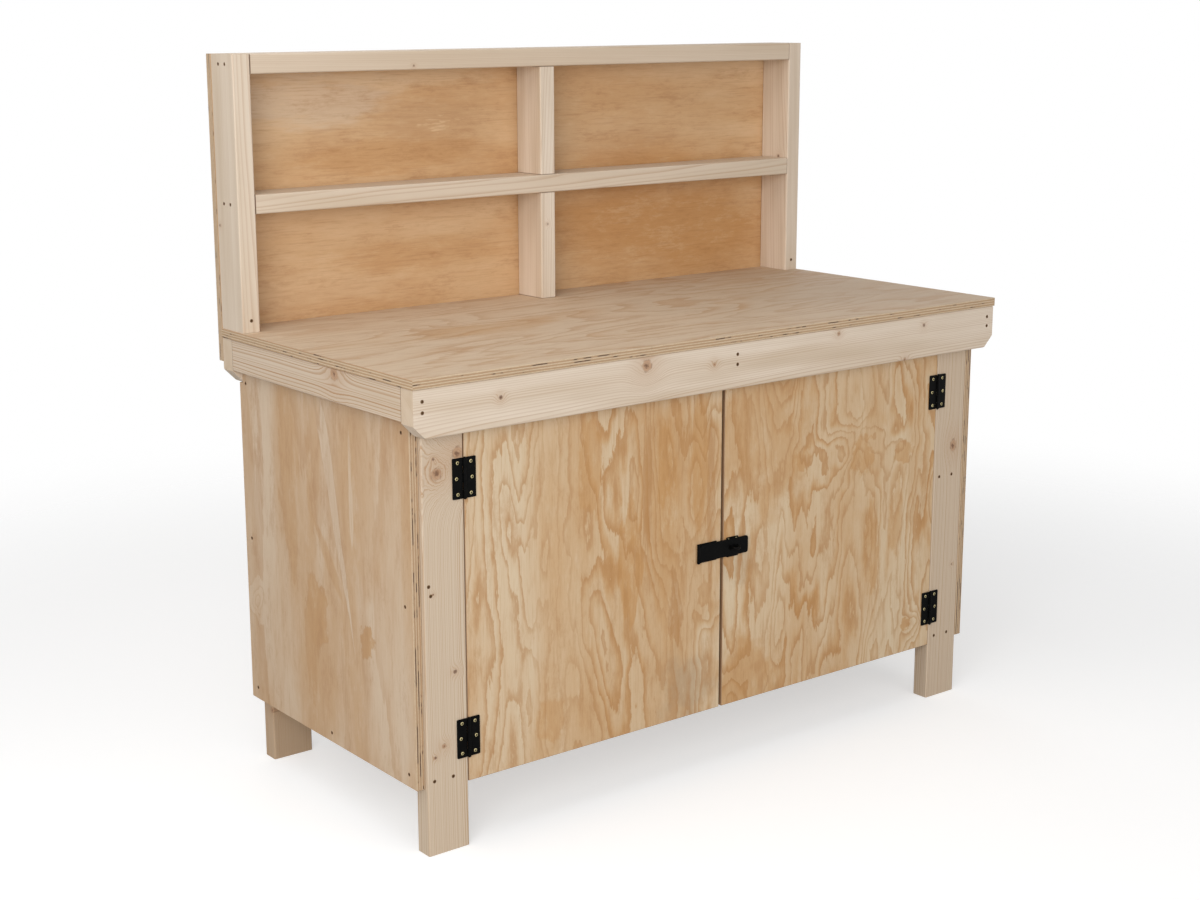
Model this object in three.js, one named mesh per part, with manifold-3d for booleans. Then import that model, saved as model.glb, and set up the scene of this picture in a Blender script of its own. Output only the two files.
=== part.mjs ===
// A timber workbench with an open back unit above the top and a two-door cabinet below it.
// Millimetres, +Z up, +X to the right. The front faces -Y and the origin is on the floor, under the middle.

import * as THREE from 'three';
import { mergeVertices } from 'three/addons/utils/BufferGeometryUtils.js';
import loadManifold from 'manifold-3d';

// Stock: planed timber with rounded corners, and plywood sheet
const TIMBER_WIDE = 89;
const TIMBER_NARROW = 63;
const TIMBER_THIN = 38;
const TIMBER_EASE = 3;
const PLY = 18;
const PLY_EASE = 0.8;
const CABINET_BACK_PLY = 12;

// Overall sizes
const BENCH_WIDTH = 1500;
const WORKTOP_DEPTH = 700;
const WORKTOP_HEIGHT = 900;
const BACK_UNIT_RISE = 537;

// Heights and drops
const TOOL_SHELF_RISE = 231;
const BACK_BOARD_DROP = 67;
const APRON_CORNER_CUT = 25;
const PANEL_FLOOR_GAP = 130;
const DOOR_FLOOR_GAP = 126;
const MIDDLE_RAIL_HEIGHT = 491;
const HASP_HEIGHT = 460;

// Clearances
const HAIRLINE = 0.3;
const WORKTOP_OVERHANG = 2;
const LEFT_PANEL_SETBACK = 9;
const RIGHT_PANEL_SETBACK = 0;
const DIVIDER_SETBACK = 2;
const DOOR_HEAD_GAP = 4;
const DOOR_SIDE_GAP = 1.4;
const DOOR_MEETING_GAP = 7.5;
const DOOR_STOP_GAP = 1;

// Sunk holes for the wood screws
const SCREW_SINK_RADIUS = 3.6;
const SCREW_SINK_DEPTH = 5;
const APRON_SCREW_SPACING = 20;
const UPRIGHT_SCREW_SPACING = 26;
const PANEL_SCREW_INSET = 25;
const UPRIGHT_FOOT_SCREW_RISE = 24;

// Screws in the front legs, driven by eye: across from the leg's middle, and up from the rail's underside
const LEG_SCREWS = {
  left: { bottom: [[-30, 14], [11, 14]], middle: [[-30, 5], [-34, 23]] },
  right: { bottom: [[-25, 13], [16, 13]], middle: [[-27, 18], [13, 18]] },
};

// Butt hinges
const HINGE_HEIGHT = 75;
const HINGE_LEAF_REACH = 25;
const HINGE_LEAF_THICK = 2;
const HINGE_BARREL_RADIUS = 3.25;
const HINGE_PIN_RADIUS = 2;
const HINGE_PIN_OVERRUN = 1.5;
const HINGE_KNUCKLES = 5;
const HINGE_CORNER_RADIUS = 2;
const HINGE_END_INSET = 49;
const HINGE_SCREW_END_INSET = 8.5;
const HINGE_SCREW_NEAR = 14.3;
const HINGE_SCREW_FAR = 16.8;

// Hasp and staple
const HASP_PLATE_REACH = 49;
const HASP_PLATE_HEIGHT = 39;
const HASP_STRAP_REACH = 131;
const HASP_STRAP_HEIGHT = 35;
const HASP_STRAP_CORNER = 5;
const HASP_THICK = 2;
const HASP_BARREL_RADIUS = 3.25;
const HASP_PIN_RADIUS = 2;
const HASP_PIN_OVERRUN = 0.8;
const HASP_KNUCKLES = 3;
const HASP_CORNER_RADIUS = 2;
const HASP_EDGE_INSET = 12;
const HASP_SCREW_INSET = 8;
const STAPLE_PLATE_WIDTH = 31;
const STAPLE_PLATE_HEIGHT = 41;
const STAPLE_EDGE_INSET = 7;
const STAPLE_ROD_RADIUS = 3;
const STAPLE_LEG_SPACING = 14;
const STAPLE_RISE = 22;
const STAPLE_SCREW_INSET = 5.5;
const SLOT_CLEARANCE = 1.8;
const SLOT_SWING_CLEARANCE = 4;

// Shared small hardware sizes
const SCREW_HEAD_RADIUS = 3.6;
const SCREW_SHANK_RADIUS = 2;
const KNUCKLE_END_GAP = 0.3;
const BARREL_NOTCH_GAP = 0.5;
const PIN_RUNNING_GAP = 0.06;
const ROD_SEAT_GAP = 0.08;
const PIN_END_CHAMFER = 0.5;

// How finely round shapes are cut into flats
const BARREL_SIDES = 20;
const HOLE_SIDES = 12;
const ROD_SIDES = 12;
const STAPLE_STEPS = 28;
const CORNER_STEPS = 3;

// Finishes
const TIMBER = { color: 0xe3c9a4, roughness: 0.75, metalness: 0 };
const SHEET = { color: 0xd6b184, roughness: 0.7, metalness: 0 };
const BLACK_STEEL = { color: 0x1b1b1d, roughness: 0.45, metalness: 0.6 };
const BRIGHT_STEEL = { color: 0x55565a, roughness: 0.35, metalness: 0.9 };

// Places across the bench, measured from its middle to the right
const apronEndX = BENCH_WIDTH / 2 - WORKTOP_OVERHANG;
const sideApronInnerX = apronEndX - TIMBER_THIN;
const legOuterX = sideApronInnerX - HAIRLINE;
const legInnerX = legOuterX - TIMBER_WIDE;
const legMiddleX = legOuterX - TIMBER_WIDE / 2;
const panelInnerX = legOuterX + HAIRLINE;
const panelOuterX = panelInnerX + PLY;
const shelfNotchX = legInnerX - HAIRLINE;
const doorHingeX = legInnerX - DOOR_SIDE_GAP;
const hingeAxisX = legInnerX - DOOR_SIDE_GAP / 2;
const doorMeetingX = DOOR_MEETING_GAP / 2;
const uprightInnerX = apronEndX - TIMBER_THIN;
const dividerX = TIMBER_THIN / 2;

// Places from front to back
const overallDepth = WORKTOP_DEPTH + HAIRLINE + PLY;
const worktopFrontY = -overallDepth / 2;
const worktopRearY = worktopFrontY + WORKTOP_DEPTH;
const apronFrontY = worktopFrontY + WORKTOP_OVERHANG;
const apronBackY = apronFrontY + TIMBER_THIN;
const legFrontY = apronBackY + HAIRLINE;
const legBackY = legFrontY + TIMBER_THIN;
const rearApronFrontY = worktopRearY - TIMBER_THIN;
const rearLegBackY = rearApronFrontY - HAIRLINE;
const rearLegFrontY = rearLegBackY - TIMBER_THIN;
const cabinetBackFrontY = rearLegBackY + HAIRLINE;
const cabinetBackRearY = cabinetBackFrontY + CABINET_BACK_PLY;
const backBoardFrontY = worktopRearY + HAIRLINE;
const backBoardRearY = backBoardFrontY + PLY;
const uprightBackY = backBoardFrontY - HAIRLINE;
const uprightFrontY = uprightBackY - TIMBER_WIDE;
const doorBackY = legFrontY + PLY;
const shelfFrontY = doorBackY + DOOR_STOP_GAP;
const panelFrontY = { left: legFrontY + LEFT_PANEL_SETBACK, right: legFrontY + RIGHT_PANEL_SETBACK };

// Places from the floor up
const worktopUnderZ = WORKTOP_HEIGHT - PLY;
const apronTopZ = worktopUnderZ - HAIRLINE;
const apronBottomZ = apronTopZ - TIMBER_WIDE;
const sideApronBottomZ = apronTopZ - TIMBER_NARROW;
const panelTopZ = sideApronBottomZ - HAIRLINE;
const cabinetBackTopZ = apronBottomZ - HAIRLINE;
const doorTopZ = apronBottomZ - DOOR_HEAD_GAP;
const bottomRailTopZ = PANEL_FLOOR_GAP + TIMBER_THIN;
const bottomShelfZ = bottomRailTopZ + HAIRLINE;
const middleRailTopZ = MIDDLE_RAIL_HEIGHT + TIMBER_THIN;
const middleShelfZ = middleRailTopZ + HAIRLINE;
const backUnitZ = WORKTOP_HEIGHT + HAIRLINE;
const backUnitTopZ = WORKTOP_HEIGHT + BACK_UNIT_RISE;
const topRailBottomZ = backUnitTopZ - TIMBER_THIN;
const toolShelfBottomZ = WORKTOP_HEIGHT + TOOL_SHELF_RISE;
const toolShelfTopZ = toolShelfBottomZ + TIMBER_THIN;

// Solids are joined and cut through a boolean library, on meshes with shared corners
const manifold = await loadManifold();
manifold.setup();

function toSolid(geometry) {
  const bare = geometry.clone();
  bare.deleteAttribute('normal');
  bare.deleteAttribute('uv');
  const merged = mergeVertices(bare, 1e-4);
  const mesh = new manifold.Mesh({
    numProp: 3,
    vertProperties: new Float32Array(merged.attributes.position.array),
    triVerts: new Uint32Array(merged.index.array),
  });
  return new manifold.Manifold(mesh);
}

function toGeometry(solid) {
  const mesh = solid.getMesh();
  const geometry = new THREE.BufferGeometry();
  geometry.setAttribute('position', new THREE.BufferAttribute(mesh.vertProperties, 3));
  geometry.setIndex(new THREE.BufferAttribute(mesh.triVerts, 1));
  geometry.computeVertexNormals();
  return geometry;
}

function cut(geometry, tools) {
  return toGeometry(tools.reduce((solid, tool) => solid.subtract(toSolid(tool)), toSolid(geometry)));
}

function join(geometries) {
  return toGeometry(geometries.map(toSolid).reduce((whole, piece) => whole.add(piece)));
}

// A flat outline drawn in two axes and pulled out along the third, turned so that the pull runs along 'axis':
// 'x' draws in y and z, 'y' draws in z and x, 'z' draws in x and y.
const PULL = {
  x: new THREE.Matrix4().makeBasis(
    new THREE.Vector3(0, 1, 0), new THREE.Vector3(0, 0, 1), new THREE.Vector3(1, 0, 0)),
  y: new THREE.Matrix4().makeBasis(
    new THREE.Vector3(0, 0, 1), new THREE.Vector3(1, 0, 0), new THREE.Vector3(0, 1, 0)),
  z: new THREE.Matrix4(),
};

function pulled(shape, axis, from, to, options = {}) {
  const ease = options.ease ?? 0;
  const geometry = new THREE.ExtrudeGeometry(shape, {
    depth: to - from - 2 * ease,
    curveSegments: CORNER_STEPS,
    bevelEnabled: ease > 0,
    bevelThickness: ease,
    bevelSize: ease,
    bevelOffset: -ease,
    bevelSegments: 1,
  });
  geometry.translate(0, 0, from + ease);
  return geometry.applyMatrix4(PULL[axis]);
}

function roundedRectangle([u0, u1], [v0, v1], radius) {
  const shape = new THREE.Shape();
  shape.moveTo(u0 + radius, v0);
  shape.lineTo(u1 - radius, v0);
  shape.absarc(u1 - radius, v0 + radius, radius, -Math.PI / 2, 0);
  shape.lineTo(u1, v1 - radius);
  shape.absarc(u1 - radius, v1 - radius, radius, 0, Math.PI / 2);
  shape.lineTo(u0 + radius, v1);
  shape.absarc(u0 + radius, v1 - radius, radius, Math.PI / 2, Math.PI);
  shape.lineTo(u0, v0 + radius);
  shape.absarc(u0 + radius, v0 + radius, radius, Math.PI, Math.PI * 1.5);
  return shape;
}

function polygon(points) {
  return new THREE.Shape(points.map(([u, v]) => new THREE.Vector2(u, v)));
}

// Planed timber that runs along one axis, with its four long corners rounded
function timber(run, x, y, z) {
  const spans = { x: [y, z, x], y: [z, x, y], z: [x, y, z] };
  const [u, v, length] = spans[run];
  return pulled(roundedRectangle(u, v, TIMBER_EASE), run, length[0], length[1]);
}

// A plywood rectangle whose face looks along one axis, with all its edges lightly eased
function sheet(normal, x, y, z) {
  const spans = { x: [y, z, x], y: [z, x, y], z: [x, y, z] };
  const [[u0, u1], [v0, v1], [from, to]] = spans[normal];
  const outline = polygon([[u0, v0], [u1, v0], [u1, v1], [u0, v1]]);
  return pulled(outline, normal, from, to, { ease: PLY_EASE });
}

// A round bar along one axis, centred on a point
function bar(axis, point, length, radius, sides, endRadius = radius) {
  const geometry = new THREE.CylinderGeometry(endRadius, radius, length, sides);
  geometry.rotateX(Math.PI / 2);
  geometry.applyMatrix4(PULL[axis]);
  return geometry.translate(...point);
}

// The hole that a wood screw leaves where its head is sunk below the face
function screwSink(axis, point) {
  return bar(axis, point, 2 * SCREW_SINK_DEPTH, SCREW_SINK_RADIUS, HOLE_SIDES);
}

function pair(middle, spacing) {
  return [middle - spacing / 2, middle + spacing / 2];
}

function addPiece(parent, name, geometry, finish) {
  geometry.computeBoundingBox();
  const centre = geometry.boundingBox.getCenter(new THREE.Vector3());
  geometry.translate(-centre.x, -centre.y, -centre.z);
  const material = new THREE.MeshStandardMaterial({ ...finish, flatShading: true });
  const mesh = new THREE.Mesh(geometry, material);
  mesh.name = name;
  mesh.position.copy(centre);
  parent.add(mesh);
}

// The two spans that mirror each other about the middle of the bench
function mirrored(near, far) {
  return { left: [-far, -near], right: [near, far] };
}

const SIDES = [['left', -1], ['right', 1]];

// Four legs, flat to the front; the front ones show the sunk screws that hold the rails behind them
function addLegs(parent) {
  const legX = mirrored(legInnerX, legOuterX);
  const railZ = { bottom: PANEL_FLOOR_GAP, middle: MIDDLE_RAIL_HEIGHT };
  for (const [side, sign] of SIDES) {
    const sinks = Object.entries(LEG_SCREWS[side]).flatMap(([rail, spots]) => spots
      .map(([across, rise]) => screwSink('y', [sign * legMiddleX + across, legFrontY, railZ[rail] + rise])));
    const front = timber('z', legX[side], [legFrontY, legBackY], [0, apronTopZ]);
    addPiece(parent, `front_${side}_leg`, cut(front, sinks), TIMBER);
    const rear = timber('z', legX[side], [rearLegFrontY, rearLegBackY], [0, apronTopZ]);
    addPiece(parent, `rear_${side}_leg`, rear, TIMBER);
  }
}

// The piece sawn off a bottom corner of a long apron
function cornerOffcut(sign, y0, y1) {
  const over = 1;
  const outerX = apronEndX + over;
  const slopeX = apronEndX - APRON_CORNER_CUT - over;
  const slopeZ = apronBottomZ + APRON_CORNER_CUT + over;
  const outline = polygon([
    [apronBottomZ - over, sign * outerX],
    [slopeZ, sign * outerX],
    [apronBottomZ - over, sign * slopeX],
  ]);
  return pulled(outline, 'y', y0 - over, y1 + over);
}

function longApron(y0, y1) {
  const plain = timber('x', [-apronEndX, apronEndX], [y0, y1], [apronBottomZ, apronTopZ]);
  return cut(plain, [cornerOffcut(-1, y0, y1), cornerOffcut(1, y0, y1)]);
}

// The frame under the worktop: long aprons front and rear, narrower side aprons and a joist between them
function addTopFrame(parent) {
  const sideApronMiddleX = apronEndX - TIMBER_THIN / 2;
  const screwZ = pair((sideApronBottomZ + apronTopZ) / 2, APRON_SCREW_SPACING);
  const sinks = [-sideApronMiddleX, 0, sideApronMiddleX]
    .flatMap((x) => screwZ.map((z) => screwSink('y', [x, apronFrontY, z])));
  addPiece(parent, 'front_apron', cut(longApron(apronFrontY, apronBackY), sinks), TIMBER);
  addPiece(parent, 'rear_apron', longApron(rearApronFrontY, worktopRearY), TIMBER);
  const crossY = [apronBackY + HAIRLINE, rearApronFrontY - HAIRLINE];
  const crossZ = [sideApronBottomZ, apronTopZ];
  const sideX = mirrored(sideApronInnerX, apronEndX);
  for (const [side] of SIDES) {
    addPiece(parent, `${side}_apron`, timber('y', sideX[side], crossY, crossZ), TIMBER);
  }
  const joistX = [-TIMBER_THIN / 2, TIMBER_THIN / 2];
  addPiece(parent, 'centre_joist', timber('y', joistX, crossY, crossZ), TIMBER);
  const topX = [-BENCH_WIDTH / 2, BENCH_WIDTH / 2];
  const topY = [worktopFrontY, worktopRearY];
  addPiece(parent, 'worktop', sheet('z', topX, topY, [worktopUnderZ, WORKTOP_HEIGHT]), SHEET);
}

// A shelf that lies on the side rails and is notched round the four legs
function notchedShelf(bottomZ) {
  const halfWidth = panelInnerX - HAIRLINE;
  const frontNotchY = legBackY + HAIRLINE;
  const rearNotchY = rearLegFrontY - HAIRLINE;
  const backY = cabinetBackFrontY - HAIRLINE;
  const rightSide = [
    [shelfNotchX, shelfFrontY],
    [shelfNotchX, frontNotchY],
    [halfWidth, frontNotchY],
    [halfWidth, rearNotchY],
    [shelfNotchX, rearNotchY],
    [shelfNotchX, backY],
  ];
  const leftSide = rightSide.map(([x, y]) => [-x, y]).reverse();
  return pulled(polygon([...rightSide, ...leftSide]), 'z', bottomZ, bottomZ + PLY, { ease: PLY_EASE });
}

// A side panel under the side apron, notched at its top rear corner for the deeper rear apron
function notchedPanel([fromX, toX], frontY) {
  const notchY = rearApronFrontY - HAIRLINE;
  const outline = polygon([
    [frontY, PANEL_FLOOR_GAP],
    [cabinetBackRearY, PANEL_FLOOR_GAP],
    [cabinetBackRearY, cabinetBackTopZ],
    [notchY, cabinetBackTopZ],
    [notchY, panelTopZ],
    [frontY, panelTopZ],
  ]);
  return pulled(outline, 'x', fromX, toX, { ease: PLY_EASE });
}

// Side panels, back, rails and shelves of the cabinet
function addCabinet(parent) {
  const panelX = mirrored(panelInnerX, panelOuterX);
  const panelMiddleZ = (PANEL_FLOOR_GAP + panelTopZ) / 2;
  const screwZ = [PANEL_FLOOR_GAP + PANEL_SCREW_INSET, panelMiddleZ, panelTopZ - PANEL_SCREW_INSET];
  const railMiddle = [(legBackY + rearLegFrontY) / 2, PANEL_FLOOR_GAP + TIMBER_THIN / 2];
  for (const [side, sign] of SIDES) {
    const screwY = [panelFrontY[side] + PANEL_SCREW_INSET, cabinetBackRearY - PANEL_SCREW_INSET];
    const spots = [...screwY.flatMap((y) => screwZ.map((z) => [y, z])), railMiddle];
    const sinks = spots.map(([y, z]) => screwSink('x', [sign * panelOuterX, y, z]));
    addPiece(parent, `${side}_side_panel`, cut(notchedPanel(panelX[side], panelFrontY[side]), sinks), SHEET);
  }
  const backX = [-panelInnerX + HAIRLINE, panelInnerX - HAIRLINE];
  const backY = [cabinetBackFrontY, cabinetBackRearY];
  addPiece(parent, 'cabinet_back', sheet('y', backX, backY, [PANEL_FLOOR_GAP, cabinetBackTopZ]), SHEET);
  const railX = mirrored(legInnerX, legOuterX);
  const railY = [legBackY + HAIRLINE, rearLegFrontY - HAIRLINE];
  for (const [side] of SIDES) {
    const bottom = timber('y', railX[side], railY, [PANEL_FLOOR_GAP, bottomRailTopZ]);
    addPiece(parent, `${side}_bottom_rail`, bottom, TIMBER);
    const middle = timber('y', railX[side], railY, [MIDDLE_RAIL_HEIGHT, middleRailTopZ]);
    addPiece(parent, `${side}_middle_rail`, middle, TIMBER);
  }
  addPiece(parent, 'bottom_shelf', notchedShelf(bottomShelfZ), SHEET);
  addPiece(parent, 'middle_shelf', notchedShelf(middleShelfZ), SHEET);
}

// The open unit that stands on the rear of the worktop
function addBackUnit(parent) {
  const depth = [uprightFrontY, uprightBackY];
  const uprightX = mirrored(uprightInnerX, apronEndX);
  const pairY = pair((uprightFrontY + uprightBackY) / 2, UPRIGHT_SCREW_SPACING);
  const pairZ = [topRailBottomZ + TIMBER_THIN / 2, toolShelfBottomZ + TIMBER_THIN / 2];
  const footZ = WORKTOP_HEIGHT + UPRIGHT_FOOT_SCREW_RISE;
  for (const [side, sign] of SIDES) {
    const sinks = pairZ.flatMap((z) => pairY.map((y) => screwSink('x', [sign * apronEndX, y, z])));
    const footX = sign * (apronEndX - TIMBER_THIN / 2);
    sinks.push(screwSink('y', [footX, uprightFrontY, footZ]));
    const upright = timber('z', uprightX[side], depth, [backUnitZ, backUnitTopZ]);
    addPiece(parent, `${side}_upright`, cut(upright, sinks), TIMBER);
  }
  const railX = [-uprightInnerX + HAIRLINE, uprightInnerX - HAIRLINE];
  addPiece(parent, 'top_rail', timber('x', railX, depth, [topRailBottomZ, backUnitTopZ]), TIMBER);
  const shelfZ = [toolShelfBottomZ, toolShelfTopZ];
  addPiece(parent, 'tool_shelf', timber('x', railX, depth, shelfZ), TIMBER);
  const dividerSpanX = [-dividerX, dividerX];
  const dividerDepth = [uprightFrontY + DIVIDER_SETBACK, uprightBackY];
  const upperZ = [toolShelfTopZ + HAIRLINE, topRailBottomZ - HAIRLINE];
  addPiece(parent, 'upper_divider', timber('z', dividerSpanX, dividerDepth, upperZ), TIMBER);
  const lowerZ = [backUnitZ, toolShelfBottomZ - HAIRLINE];
  addPiece(parent, 'lower_divider', timber('z', dividerSpanX, dividerDepth, lowerZ), TIMBER);
  const boardZ = [WORKTOP_HEIGHT - BACK_BOARD_DROP, backUnitTopZ];
  const boardY = [backBoardFrontY, backBoardRearY];
  addPiece(parent, 'back_board', sheet('y', [-apronEndX, apronEndX], boardY, boardZ), SHEET);
}

// A hole through a plate for a countersunk screw; the plate's front looks along -y
function countersink(x, z, backY, thick) {
  const over = 0.5;
  const spread = (SCREW_HEAD_RADIUS - SCREW_SHANK_RADIUS) / thick * over;
  const backRadius = SCREW_SHANK_RADIUS - spread;
  const frontRadius = SCREW_HEAD_RADIUS + spread;
  const length = thick + 2 * over;
  return bar('y', [x, backY - thick / 2, z], length, frontRadius, HOLE_SIDES, backRadius);
}

// A flat plate that lies in x and z, with its back at backY and rounded corners
function plate(x, z, backY, thick, radius) {
  return pulled(roundedRectangle(z, x, radius), 'y', backY - thick, backY);
}

// Radius of a many-sided hole whose flats stay clear of a round bar by a gap
function holeRadius(barRadius, gap, sides) {
  return (barRadius + gap) / Math.cos(Math.PI / sides);
}

// A hinge leaf about a pin along z: the plate reaches towards +x, and every other knuckle is its own.
// backY is the plate's back face, measured from the pin.
function hingeLeaf(sizes) {
  const { reach, height, leafHeight, thick, backY, barrel, pin, knuckles, first, corner } = sizes;
  const plateX = [barrel + BARREL_NOTCH_GAP, reach];
  const pieces = [plate(plateX, [-leafHeight / 2, leafHeight / 2], backY, thick, corner)];
  const pitch = height / knuckles;
  const overlap = corner + 1;
  for (let index = first; index < knuckles; index += 2) {
    const z = -height / 2 + pitch * (index + 0.5);
    const length = pitch - KNUCKLE_END_GAP;
    pieces.push(bar('z', [0, 0, z], length, barrel, BARREL_SIDES));
    const strapZ = [Math.max(z - length / 2, -leafHeight / 2), Math.min(z + length / 2, leafHeight / 2)];
    const bridge = polygon([
      [strapZ[0], 0],
      [strapZ[1], 0],
      [strapZ[1], plateX[0] + overlap],
      [strapZ[0], plateX[0] + overlap],
    ]);
    pieces.push(pulled(bridge, 'y', backY - thick, backY));
  }
  const bore = bar('z', [0, 0, 0], 2 * height, holeRadius(pin, PIN_RUNNING_GAP, BARREL_SIDES), BARREL_SIDES);
  return cut(join(pieces), [bore, ...sizes.holes]);
}

// A pin along z with lightly chamfered ends
function pinGeometry(height, radius, overrun) {
  const end = height / 2 + overrun;
  const profile = [
    [0, -end],
    [radius - PIN_END_CHAMFER, -end],
    [radius, -end + PIN_END_CHAMFER],
    [radius, end - PIN_END_CHAMFER],
    [radius - PIN_END_CHAMFER, end],
    [0, end],
  ].map(([r, z]) => new THREE.Vector2(r, z));
  const geometry = new THREE.LatheGeometry(profile, BARREL_SIDES);
  return geometry.rotateX(Math.PI / 2);
}

function buttLeaf(first) {
  const edgeZ = HINGE_HEIGHT / 2 - HINGE_SCREW_END_INSET;
  const backY = HINGE_BARREL_RADIUS;
  const spots = [[HINGE_SCREW_NEAR, -edgeZ], [HINGE_SCREW_FAR, 0], [HINGE_SCREW_NEAR, edgeZ]];
  return hingeLeaf({
    reach: HINGE_LEAF_REACH,
    height: HINGE_HEIGHT,
    leafHeight: HINGE_HEIGHT,
    thick: HINGE_LEAF_THICK,
    backY,
    barrel: HINGE_BARREL_RADIUS,
    pin: HINGE_PIN_RADIUS,
    knuckles: HINGE_KNUCKLES,
    first,
    corner: HINGE_CORNER_RADIUS,
    holes: spots.map(([x, z]) => countersink(x, z, backY, HINGE_LEAF_THICK)),
  });
}

// A butt hinge whose pin stands just in front of the gap between a leg and its door
function addHinge(parent, name, sign, z) {
  const hinge = new THREE.Group();
  hinge.position.set(sign * hingeAxisX, legFrontY - HAIRLINE - HINGE_BARREL_RADIUS, z);
  const frameLeaf = buttLeaf(0);
  const doorLeaf = buttLeaf(1);
  const turned = sign > 0 ? doorLeaf : frameLeaf;
  turned.rotateY(Math.PI);
  addPiece(hinge, `${name}_frame_leaf`, frameLeaf, BLACK_STEEL);
  addPiece(hinge, `${name}_door_leaf`, doorLeaf, BLACK_STEEL);
  const pin = pinGeometry(HINGE_HEIGHT, HINGE_PIN_RADIUS, HINGE_PIN_OVERRUN);
  addPiece(hinge, `${name}_pin`, pin, BRIGHT_STEEL);
  parent.add(hinge);
}

function addDoors(parent) {
  const doorX = mirrored(doorMeetingX, doorHingeX);
  const doorZ = [DOOR_FLOOR_GAP, doorTopZ];
  const hingeOffset = HINGE_END_INSET + HINGE_HEIGHT / 2;
  for (const [side, sign] of SIDES) {
    addPiece(parent, `${side}_door`, sheet('y', doorX[side], [legFrontY, doorBackY], doorZ), SHEET);
    addHinge(parent, `${side}_upper_hinge`, sign, doorTopZ - hingeOffset);
    addHinge(parent, `${side}_lower_hinge`, sign, DOOR_FLOOR_GAP + hingeOffset);
  }
}

// Places along the hasp, measured from its pin
const haspPinX = -doorMeetingX - HASP_EDGE_INSET - HASP_PLATE_REACH;
const staplePlateX = doorMeetingX + STAPLE_EDGE_INSET - haspPinX;
const stapleX = staplePlateX + STAPLE_PLATE_WIDTH / 2;
const haspPlateBackY = HASP_BARREL_RADIUS;
const strapBackY = haspPlateBackY - HASP_THICK - HAIRLINE;

function haspLeaf(sizes) {
  return hingeLeaf({
    height: HASP_PLATE_HEIGHT,
    thick: HASP_THICK,
    barrel: HASP_BARREL_RADIUS,
    pin: HASP_PIN_RADIUS,
    knuckles: HASP_KNUCKLES,
    ...sizes,
  });
}

// The strap's slot, longer on the free side because the strap swings up off the staple
function strapSlot() {
  const halfLength = STAPLE_LEG_SPACING / 2 + STAPLE_ROD_RADIUS;
  const halfHeight = STAPLE_ROD_RADIUS + SLOT_CLEARANCE;
  const slotX = [stapleX - halfLength - SLOT_CLEARANCE, stapleX + halfLength + SLOT_SWING_CLEARANCE];
  const outline = roundedRectangle([-halfHeight, halfHeight], slotX, halfHeight - 0.1);
  return pulled(outline, 'y', strapBackY - 2 * HASP_THICK, strapBackY + HASP_THICK);
}

// The staple's rod: up one leg, round a half circle and down the other leg
function stapleGeometry(footY) {
  const reach = STAPLE_LEG_SPACING / 2;
  const tipY = haspPlateBackY - STAPLE_RISE + STAPLE_ROD_RADIUS;
  const springY = tipY + reach;
  const round = reach * 0.5523;
  const at = (x, y) => new THREE.Vector3(stapleX + x, y, 0);
  const path = new THREE.CurvePath();
  path.add(new THREE.LineCurve3(at(-reach, footY), at(-reach, springY)));
  path.add(new THREE.CubicBezierCurve3(
    at(-reach, springY), at(-reach, springY - round), at(-round, tipY), at(0, tipY)));
  path.add(new THREE.CubicBezierCurve3(
    at(0, tipY), at(round, tipY), at(reach, springY - round), at(reach, springY)));
  path.add(new THREE.LineCurve3(at(reach, springY), at(reach, footY)));
  const points = [];
  for (let side = 0; side < ROD_SIDES; side += 1) {
    const angle = (side / ROD_SIDES) * Math.PI * 2;
    points.push([STAPLE_ROD_RADIUS * Math.cos(angle), STAPLE_ROD_RADIUS * Math.sin(angle)]);
  }
  return new THREE.ExtrudeGeometry(polygon(points), { steps: STAPLE_STEPS, extrudePath: path });
}

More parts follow.
